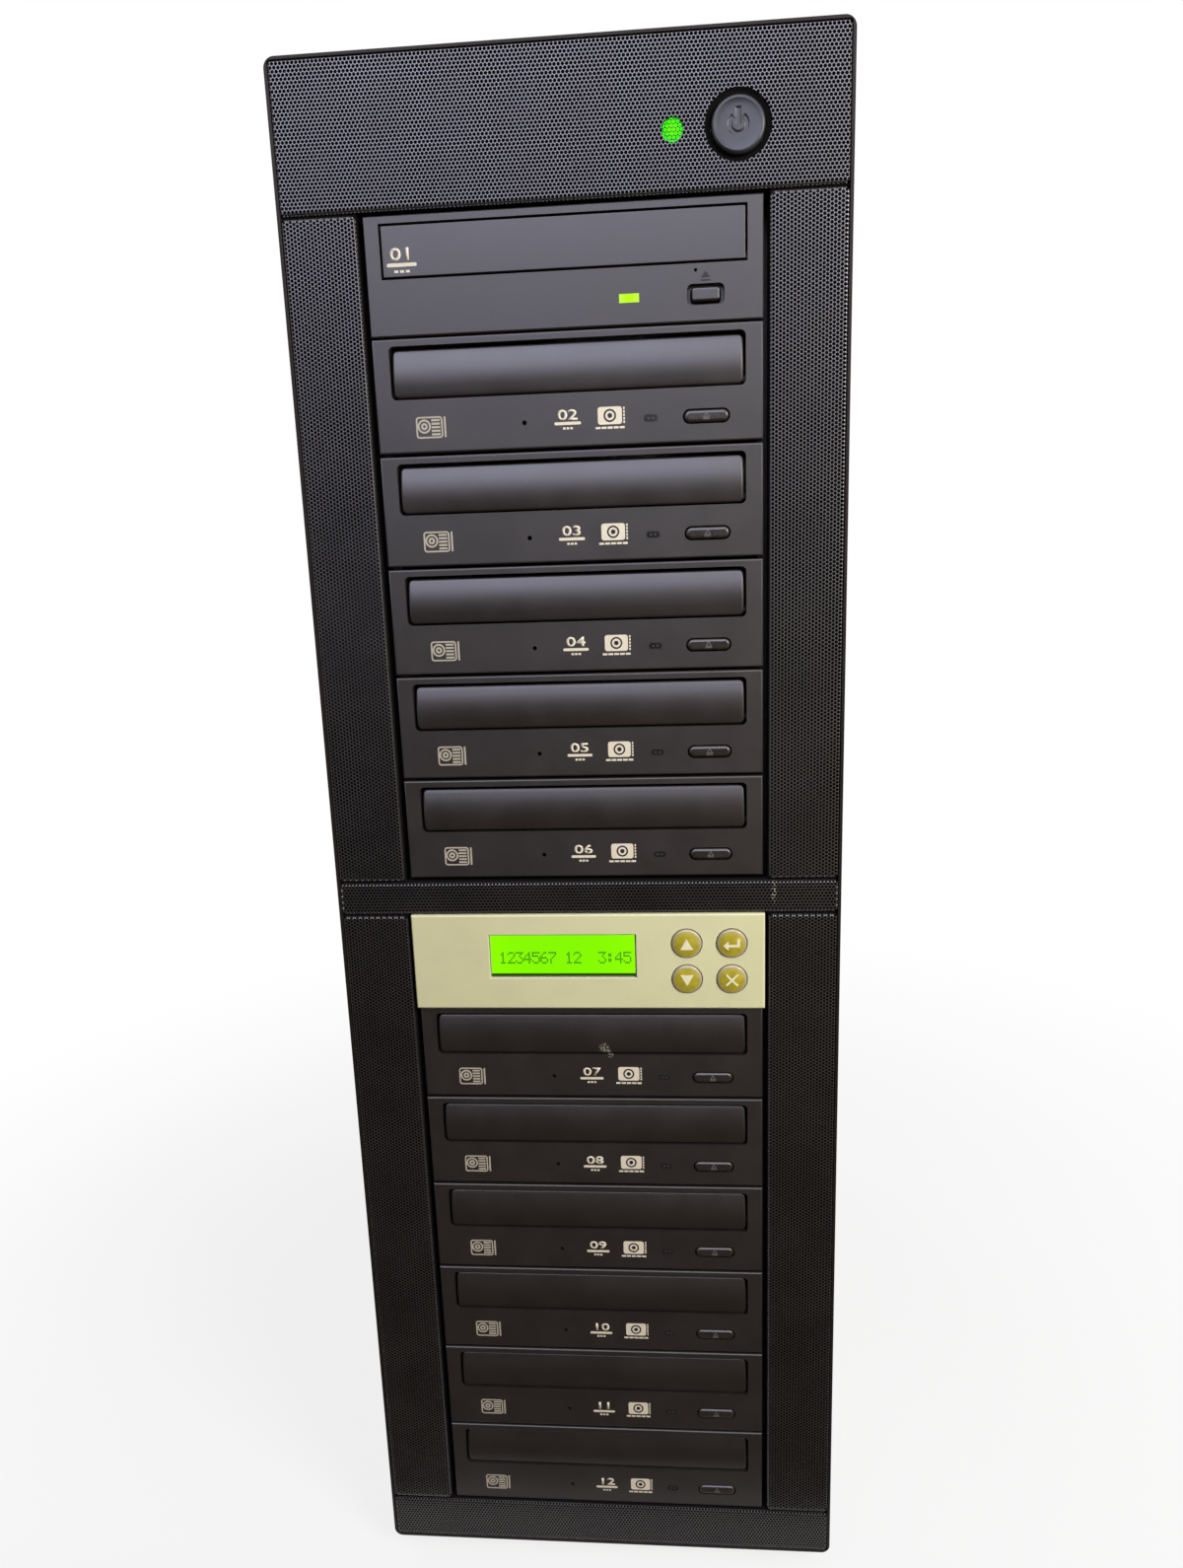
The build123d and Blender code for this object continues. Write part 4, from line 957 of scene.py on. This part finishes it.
class DriveLights(Piece):
    """The drives' lamps, of which the reader's is lit."""

    bl_idname = "duplicator.drive_lights"
    bl_label = "Drive lights"

    def build(self, scene):
        colour = scene.duplicator_finish.reader
        finished("reader_light", lit_lens("Reader lens", colour, "reader_light", 4.4 * MM, (0.6, 1.0, 0.08)))
        finished("burner_lights", smooth_plastic("Smoky lens", (0.014, 0.014, 0.015), 0.22))


class PowerButton(Piece):
    """Round power button with its sunken standby symbol, its light and its board."""

    bl_idname = "duplicator.power_button"
    bl_label = "Power button"

    ring_radius = 3.05 * MM
    groove = 0.78 * MM
    bar_top = 5.4 * MM
    groove_depth = 0.3 * MM

    def sunk(self, x, z):
        """How deep the symbol's groove is at a place on the cap."""
        to_ring = abs(hypot(x, z) - self.ring_radius)
        if abs(degrees(atan2(x, z))) < 36:
            to_ring = self.groove * 2
        to_bar = max(abs(x) - 0.1 * MM, 0) if z > 0 else hypot(x, z)
        to_bar = max(to_bar, z - self.bar_top + self.groove)
        near = min(to_ring, to_bar) / self.groove
        blend = min(max((1.25 - near) / 0.6, 0), 1)
        return self.groove_depth * blend * blend * (3 - 2 * blend)

    def build(self, scene):
        low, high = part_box("power_button")
        centre = middle("power_button")
        radius = (high.x - low.x) / 2
        rise, edge = 0.35 * MM, 1.3 * MM
        flat = radius - edge
        profile = [(0, rise)]
        rings = 42
        for ring in range(1, rings + 1):
            part = ring / rings
            profile.append((flat * part, rise * (1 - part ** 6)))
        for turn in range(1, 7):
            angle = pi / 2 * turn / 6
            profile.append((flat + edge * sin(angle), edge * (1 - cos(angle))))
        back = high.y - low.y
        profile += [(radius, 4.0 * MM), (4.5 * MM, 4.0 * MM), (4.5 * MM, back), (0, back)]
        bm = bmesh.new()
        spun(bm, profile, 120, (centre.x, low.y, centre.z))
        for vert in bm.verts:
            across, up = vert.co.x - centre.x, vert.co.z - centre.z
            if vert.co.y < low.y + edge and hypot(across, up) < flat:
                vert.co.y += self.sunk(across, up)
        tidy_normals(bm)
        cap = smooth_plastic("Power cap", (0.020, 0.021, 0.025), 0.32, 0.3)
        put(bm, "power_cap", cap, node_body("power_button"), ("power_button",), smooth=True)
        finished("power_light", lit_lens("Power lens", scene.duplicator_finish.power, "power_light", 4.6 * MM,
                                         (0.0, 0.50, 0.0), 2.2))
        finished("power_board", circuit_board("Power board"))


class ControllerFace(Piece):
    """Cream faceplate of the controller, and its board."""

    bl_idname = "duplicator.controller_face"
    bl_label = "Controller face"

    def build(self, scene):
        colour = scene.duplicator_finish.cream
        finish = Finish("Cream plastic", Specular_IOR_Level=0.4)
        cloud = finish.noise(26 * MM, 4)
        fine = finish.noise(0.5 * MM, 2)
        body = finish.mixed(cloud.step(0.35, 0.75), colour, shade(colour, 0.93))
        body = finish.mixed(specks(finish, 3 * MM, 0.3) * 0.35, body, (0.3, 0.27, 0.2))
        finish.surface("Base Color", body)
        finish.surface("Roughness", 0.48 + cloud * 0.1)
        finish.bumps(fine, 0.012 * MM, 0.3)
        softened("controller_faceplate", "controller_fascia", finish.material, 0.4 * MM, 3)
        finished("controller_board", circuit_board("Controller board"))


class Display(Piece):
    """Backlit display with a row of figures."""

    bl_idname = "duplicator.display"
    bl_label = "Display"

    figures = {
        "1": "..#.. .##.. ..#.. ..#.. ..#.. ..#.. .###.",
        "2": ".###. #...# ....# ...#. ..#.. .#... #####",
        "3": "##### ...#. ..#.. ...#. ....# #...# .###.",
        "4": "...#. ..##. .#.#. #..#. ##### ...#. ...#.",
        "5": "##### #.... ####. ....# ....# #...# .###.",
        "6": "..##. .#... #.... ####. #...# #...# .###.",
        "7": "##### ....# ...#. ..#.. .#... .#... .#...",
        ":": "..... .##.. .##.. ..... .##.. .##.. .....",
    }
    row = "1234567 12  3:45"
    window = (Vector((-41.8 * MM, 0, 305.4 * MM)), Vector((20.9 * MM, 0, 324.9 * MM)))
    left, top = -37.5 * MM, 316.5 * MM              # the row's first dot
    dot, step = 0.60 * MM, 0.68 * MM
    figure_pitch = 3.55 * MM
    line_spread = 1.12                              # lines stand this much wider apart than columns

    def build(self, scene):
        finished("lcd_module", lit_display("Display glass", scene.duplicator_finish.display, self.window))

        def draw(bm):
            for place, figure in enumerate(self.row):
                for line, dots in enumerate(self.figures.get(figure, "").split()):
                    z = self.top - line * self.step * self.line_spread
                    for column, mark in enumerate(dots):
                        if mark == "#":
                            x = self.left + place * self.figure_pitch + column * self.step
                            flat_bar(bm, x, z, self.dot, self.dot)

        printed("display_figures", draw, ink("Display dots", (0.02, 0.22, 0.0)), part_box("lcd_module")[LOW].y,
                height=0.03 * MM)


class Keys(Piece):
    """The controller's four keys and their symbols."""

    bl_idname = "duplicator.keys"
    bl_label = "Keys"

    print_height = 0.3 * MM
    symbol_unit = 1.05 * MM

    def build(self, scene):
        white = ink("Key print", (0.86, 0.82, 0.58))
        for node, symbol in (("key_up", self.up), ("key_down", self.down), ("key_enter", self.enter),
                             ("key_escape", self.escape)):
            centre = middle(node)
            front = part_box(node)[LOW].y
            cap = key_cap(f"Key cap {node}", scene.duplicator_finish.key, centre)
            bm = node_copy(node)
            rounded(bm, 0.7 * MM, 4)
            for vert in bm.verts:
                vert.co.y = max(vert.co.y, front + 0.06 * MM)
            put(bm, f"{node}_cap", cap, node_body(node), (node,), smooth=True)
            bm = bmesh.new()
            symbol(bm)
            bmesh.ops.scale(bm, vec=(self.symbol_unit,) * 3, verts=bm.verts)
            bmesh.ops.translate(bm, vec=(centre.x, centre.z, 0), verts=bm.verts)
            thickened(bm, bm.faces[:], self.print_height)
            stood(bm, front + self.print_height)
            tidy_normals(bm)
            put(bm, f"{node}_symbol", white, node_body(node))

    def up(self, bm):
        flat_shape(bm, [(-2.6, -2.2), (2.6, -2.2), (0, 2.4)])

    def down(self, bm):
        flat_shape(bm, [(2.6, 2.2), (-2.6, 2.2), (0, -2.4)])

    def enter(self, bm):
        """A return arrow."""
        flat_shape(bm, [(-3.4, -0.6), (-1.3, -2.6), (-1.3, -1.1), (3.2, -1.1), (3.2, 2.2), (2.1, 2.2),
                        (2.1, -0.1), (-1.3, -0.1), (-1.3, 1.4)])

    def escape(self, bm):
        """A cross."""
        arm, half = 2.6, 0.55
        flat_shape(bm, four_turns([(half, 0), (arm, arm - half), (arm - half, arm)]))


class DriveBodies(Piece):
    """Covers, chassis and mechanisms of the drives."""

    bl_idname = "duplicator.drive_bodies"
    bl_label = "Drive bodies"

    def build(self, scene):
        finished("drive_covers", bare_steel("Zinc sheet"))
        finished("drive_chassis", moulded("Chassis plastic", (0.03, 0.03, 0.032), 0.5))
        finished("disc_mechanisms", bare_steel("Turned metal", (0.42, 0.43, 0.45), 0.3, 2 * MM))


class OuterPanels(Piece):
    """Sheet steel case, and the cage inside it that carries the drives."""

    bl_idname = "duplicator.case_panels"
    bl_label = "Outer panels"

    def build(self, scene):
        paint = painted_steel("Panel paint", scene.duplicator_finish.steel, 0.5, 0.8 * MM, 0.05 * MM)
        for node in ("top_panel", "left_side_panel", "right_side_panel", "base_pan", "rear_panel"):
            softened(node, f"{node}_sheet", paint, 0.3 * MM)
        finished("drive_cage", paint)


class RearParts(Piece):
    """Power supply, mains inlet, switch and fans."""

    bl_idname = "duplicator.rear_parts"
    bl_label = "Rear parts"

    def build(self, scene):
        finished("power_supply", bare_steel("Supply sheet", (0.5, 0.5, 0.51), 0.4, 3 * MM))
        finished("mains_inlet", smooth_plastic("Inlet plastic", (0.012, 0.012, 0.012), 0.3))
        finished("supply_rocker", smooth_plastic("Rocker plastic", (0.02, 0.02, 0.02), 0.22))
        finished("case_fans", moulded("Fan plastic", (0.014, 0.014, 0.014), 0.45))
        blades = smooth_plastic("Blade plastic", (0.018, 0.018, 0.019), 0.35)
        for node in ("upper_fan_rotor", "lower_fan_rotor", "supply_fan_rotor"):
            self.rotor(node, blades)

    def rotor(self, node, plastic):
        """A hub and seven swept blades that twist from root to tip."""
        low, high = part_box(node)
        centre = (low + high) / 2
        # The CAD blades' box lies a little off the axle, which stands on whole half millimetres.
        centre.x = round(centre.x / (0.5 * MM)) * 0.5 * MM
        centre.z = round(centre.z / MM) * MM
        tip, hub, blades = 36.5 * MM, 18 * MM, 7
        depth = high.y - low.y
        bm = bmesh.new()
        spun(bm, [(0, 0), (hub - 2 * MM, 0), (hub - 0.6 * MM, 0.5 * MM), (hub, 2 * MM), (hub, depth - MM),
                  (hub - MM, depth), (0, depth)], 40, (centre.x, low.y, centre.z))
        for blade in range(blades):
            made = bmesh.ops.create_grid(bm, x_segments=8, y_segments=8, size=0.5)["verts"]
            for vert in made:
                chord, span = vert.co.x, vert.co.y + 0.5
                reach = hub - 0.4 * MM + (tip - hub + 0.4 * MM) * span
                tilt = radians(52 - 20 * span)
                length = (15 + 8 * span) * MM
                turned = FULL_TURN * blade / blades + span * span * 0.35 + chord * length * cos(tilt) / reach
                dip = chord * length * sin(tilt) + (0.25 - chord * chord) * 2.0 * MM
                vert.co = (centre.x + reach * sin(turned), centre.y + dip, centre.z + reach * cos(turned))
            faces = list({face for vert in made for face in vert.link_faces})
            bmesh.ops.solidify(bm, geom=faces, thickness=1.1 * MM)
        tidy_normals(bm)
        put(bm, f"{node}_moulding", plastic, node_body(node), (node,), smooth=True)


class Screws(Piece):
    """Cross-headed screws, small in the drives and with tall heads on the side panels."""

    bl_idname = "duplicator.screws"
    bl_label = "Screws"

    def build(self, scene):
        bm = bmesh.new()
        for low, high in islands("case_screws"):
            self.screw(bm, low, high)
        steel = bare_steel("Screw steel", (0.6, 0.6, 0.62), 0.26, 1.5 * MM)
        put(bm, "cross_head_screws", steel, "tower", ("case_screws",), smooth=True)

    def screw(self, bm, low, high):
        """One screw inside its CAD box: the head faces away from the case's middle."""
        size = high - low
        centre = (low + high) / 2
        axis = min(range(3), key=lambda index: size[index])
        outward = Vector((0, 0, 0))
        outward[axis] = 1 if centre[axis] > 0 else -1
        length = size[axis]
        diameter = max(size)
        head = diameter / 2
        cap = 1.7 * MM if diameter < 8 * MM else 6 * MM
        turn = Vector((0, 0, 1)).rotation_difference(outward).to_matrix().to_4x4()
        place = Matrix.Translation(centre - outward * length / 2) @ turn
        before = set(bm.verts)
        rim = bmesh.ops.create_circle(bm, segments=20, radius=1.5 * MM)
        cross = self.cross(bm, 0.5 * MM, head * 0.5)
        outline = list({edge for vert in rim["verts"] for edge in vert.link_edges})
        base = bmesh.ops.extrude_edge_only(bm, edges=outline)["geom"]
        for radius, height in ((1.5 * MM, length - cap), (head, length - cap), (head, length - cap * 0.45),
                               (head * 0.82, length)):
            ring = [part for part in base if isinstance(part, bmesh.types.BMVert)]
            for vert in ring:
                flat = Vector((vert.co.x, vert.co.y, 0)).normalized() * radius
                vert.co = (flat.x, flat.y, height)
            edges = [part for part in base if isinstance(part, bmesh.types.BMEdge)]
            if height < length:
                base = bmesh.ops.extrude_edge_only(bm, edges=edges)["geom"]
        bmesh.ops.translate(bm, vec=(0, 0, length), verts=cross)
        inner = list({edge for vert in cross for edge in vert.link_edges})
        bmesh.ops.bridge_loops(bm, edges=edges + inner)
        sunk = bmesh.ops.extrude_edge_only(bm, edges=inner)["geom"]
        floor = [part for part in sunk if isinstance(part, bmesh.types.BMVert)]
        bmesh.ops.translate(bm, vec=(0, 0, -cap * 0.6), verts=floor)
        bmesh.ops.contextual_create(bm, geom=[part for part in sunk if isinstance(part, bmesh.types.BMEdge)])
        bmesh.ops.contextual_create(bm, geom=outline)
        bmesh.ops.transform(bm, matrix=place, verts=[vert for vert in bm.verts if vert not in before])
        fresh = [face for face in bm.faces if face.verts[0] not in before]
        bmesh.ops.recalc_face_normals(bm, faces=fresh)

    def cross(self, bm, half, arm):
        """Outline of a cross-shaped recess."""
        points = four_turns([(half, half), (half, arm), (-half, arm)])
        made = [bm.verts.new((x, y, 0)) for x, y in points]
        for first, second in zip(made, made[1:] + made[:1]):
            bm.edges.new((first, second))
        return made


class Feet(Piece):
    """Rubber feet with a ribbed side and a shallow recess in the underside."""

    bl_idname = "duplicator.feet"
    bl_label = "Feet"

    def build(self, scene):
        bm = bmesh.new()
        for low, high in islands("feet"):
            before = set(bm.verts)
            radius, height = (high.x - low.x) / 2, high.z - low.z
            profile = [(0, 0.6 * MM), (5 * MM, 0.6 * MM), (6 * MM, 0), (radius - 3.6 * MM, 0),
                       (radius - 2.8 * MM, 0.5 * MM)]
            for rib in range(4):
                rise = 1.6 * MM + rib * 2.0 * MM
                reach = radius - 2.4 * MM * (1 - rise / height)
                profile += [(reach - 0.5 * MM, rise - 0.6 * MM), (reach, rise), (reach, rise + 0.5 * MM)]
            profile += [(radius, height - 0.4 * MM), (radius - 0.4 * MM, height), (0, height)]
            spun(bm, profile, 48)
            fresh = [vert for vert in bm.verts if vert not in before]
            place = Matrix.Translation(((low.x + high.x) / 2, (low.y + high.y) / 2, low.z)) @ STAND
            bmesh.ops.transform(bm, matrix=place, verts=fresh)
        tidy_normals(bm)
        put(bm, "rubber_feet", rubber("Foot rubber", (0.022, 0.022, 0.022)), "tower",
            ("feet",), smooth=True)


class Stage(Piece):
    """Camera, pale floor, soft lamps and a white surround."""

    bl_idname = "duplicator.stage"
    bl_label = "Stage"

    camera_place = (0.04097, -0.62208, 0.48853)
    camera_heading, camera_pitch, camera_roll = 4.844, -12.84, -1.994
    card_colour = (0.10, 0.075, 0.055)

    def build(self, scene):
        settings = scene.duplicator_stage
        self.camera(scene, settings)
        self.floor()
        self.surround(scene, settings.room)
        self.card("Front card", (0, -1.9, 0.35), (3.4, 0.8), pi / 2)
        self.card("Floor card", (0, -1.08, 0.02), (2.6, 1.75), 0)
        window = self.lamp("Window", (-0.25, -1.35, 1.38), (0, FACE, 0.58), (1.4, 1.1), settings.window_power,
                           (0.72, 0.74, 1.0))
        window.visible_diffuse = False
        self.lamp("Main lamp", (0.60, -0.75, 0.78), (0, FACE, 0.4), (0.4, 0.4), settings.key_power,
                  (1.0, 0.97, 0.90))
        self.lamp("Top lamp", (0.1, -0.55, 1.60), (0, FACE, 0.4), (1.0, 0.5), settings.top_power,
                  (0.84, 0.90, 1.0))
        self.lamp("Fill lamp", (0.45, -0.85, 0.25), (0, FACE, 0.2), (0.5, 0.4), settings.fill_power,
                  (1.0, 0.84, 0.64))
        self.lamp("Rear lamp", (-0.9, 1.4, 1.2), (0, 0.1, 0.35), (1.0, 0.8), settings.rear_power)
        self.lamp("Side lamp", (1.5, 0.2, 1.0), (0, 0, 0.35), (0.8, 0.8), settings.rear_power * 0.6)
        scene.view_settings.view_transform = "Standard"

    def camera(self, scene, settings):
        data = bpy.data.cameras.new("Camera")
        data.lens = settings.lens
        data.clip_start = 0.02
        made = linked("Camera", data)
        turn = (Matrix.Rotation(radians(self.camera_heading), 4, "Z")
                @ Matrix.Rotation(radians(90 + self.camera_pitch), 4, "X")
                @ Matrix.Rotation(radians(self.camera_roll), 4, "Z"))
        made.matrix_world = Matrix.Translation(self.camera_place) @ turn
        scene.camera = made

    def seen(self, tree):
        """1 for rays that come from the camera, a mirror or glass, and 0 for light's own."""
        path = tree.nodes.new("ShaderNodeLightPath")
        total = None
        for ray in ("Is Camera Ray", "Is Glossy Ray", "Is Transmission Ray"):
            if total is None:
                total = path.outputs[ray]
                continue
            either = tree.nodes.new("ShaderNodeMath")
            either.operation = "MAXIMUM"
            tree.links.new(total, either.inputs[0])
            tree.links.new(path.outputs[ray], either.inputs[1])
            total = either.outputs[0]
        return total

    def floor(self):
        """A floor that looks white and keeps the tower's shadow."""
        bm = bmesh.new()
        bmesh.ops.create_grid(bm, x_segments=1, y_segments=1, size=4.0)
        finish = Finish("Pale floor", Base_Color=(0.62, 0.62, 0.62), Roughness=0.9, Specular_IOR_Level=0.1)
        tree = finish.tree
        glow = tree.nodes.new("ShaderNodeEmission")
        glow.inputs["Color"].default_value = (1, 1, 1, 1)
        blend = tree.nodes.new("ShaderNodeMixShader")
        away = (finish.x * finish.x + finish.y * finish.y) ** 0.5
        share = away.step(0.2, 0.75) * 0.18 + 0.82
        share = share * Signal(finish, self.seen(tree))
        tree.links.new(share.socket, blend.inputs[0])
        tree.links.new(finish.shader.outputs[0], blend.inputs[1])
        tree.links.new(glow.outputs[0], blend.inputs[2])
        tree.links.new(blend.outputs[0], tree.nodes["Material Output"].inputs["Surface"])
        meshed(bm, "floor", finish.material)

    def card(self, name, place, size, lean):
        """Dim card in front of the tower, unseen itself, that keeps the white room out of its gloss."""
        bm = bmesh.new()
        bmesh.ops.create_grid(bm, x_segments=1, y_segments=1, size=0.5, matrix=Matrix.Translation(place)
                              @ Matrix.Rotation(lean, 4, "X") @ Matrix.Diagonal((*size, 1, 1)))
        finish = Finish(name, Base_Color=self.card_colour, Roughness=0.9, Specular_IOR_Level=0.1)
        made = meshed(bm, name, finish.material)
        made.visible_camera = False
        made.visible_shadow = False

    def surround(self, scene, strength):
        """A world that looks white and gives little light of its own."""
        world = bpy.data.worlds.new("White room")
        world.use_nodes = True
        tree = world.node_tree
        share = tree.nodes.new("ShaderNodeMapRange")
        tree.links.new(self.seen(tree), share.inputs["Value"])
        share.inputs["To Min"].default_value = strength
        share.inputs["To Max"].default_value = 1.0
        background = tree.nodes["Background"]
        background.inputs["Color"].default_value = (1, 1, 1, 1)
        tree.links.new(share.outputs[0], background.inputs["Strength"])
        scene.world = world

    def lamp(self, name, place, aim, size, power, colour=(1.0, 1.0, 1.0)):
        data = bpy.data.lights.new(name, "AREA")
        data.shape = "RECTANGLE"
        data.size, data.size_y = size
        data.energy = power
        data.color = colour
        made = linked(name, data)
        made.location = place
        made.rotation_euler = (Vector(aim) - Vector(place)).to_track_quat("-Z", "Y").to_euler()
        return made


SETTINGS = {"duplicator_mesh": MeshSettings, "duplicator_finish": FinishSettings,
            "duplicator_stage": StageSettings}
OPERATORS = (
    Stage, MeshPanels, FrontFrame, Bezels, Trays, EjectButtons, DriveMarks, DriveLights, PowerButton,
    ControllerFace, Display, Keys, DriveBodies, OuterPanels, RearParts, Screws, Feet,
)


class Panel(bpy.types.Panel):
    """Lists the tower's operators and settings in the sidebar."""

    bl_idname = "VIEW3D_PT_duplicator"
    bl_label = "Duplicator"
    bl_space_type = "VIEW_3D"
    bl_region_type = "UI"
    bl_category = "Duplicator"

    def draw(self, context):
        for holder, group in SETTINGS.items():
            for setting in group.__annotations__:
                self.layout.prop(getattr(context.scene, holder), setting)
        for operator in OPERATORS:
            self.layout.operator(operator.bl_idname)


def register():
    for holder, group in SETTINGS.items():
        bpy.utils.register_class(group)
        setattr(bpy.types.Scene, holder, bpy.props.PointerProperty(type=group))
    for operator in OPERATORS:
        bpy.utils.register_class(operator)
    bpy.utils.register_class(Panel)


def unregister():
    bpy.utils.unregister_class(Panel)
    for operator in reversed(OPERATORS):
        bpy.utils.unregister_class(operator)
    for holder, group in SETTINGS.items():
        delattr(bpy.types.Scene, holder)
        bpy.utils.unregister_class(group)


def main():
    register()
    for operator in OPERATORS:
        group, name = operator.bl_idname.split(".")
        getattr(getattr(bpy.ops, group), name)()


if __name__ == "__main__":
    main()
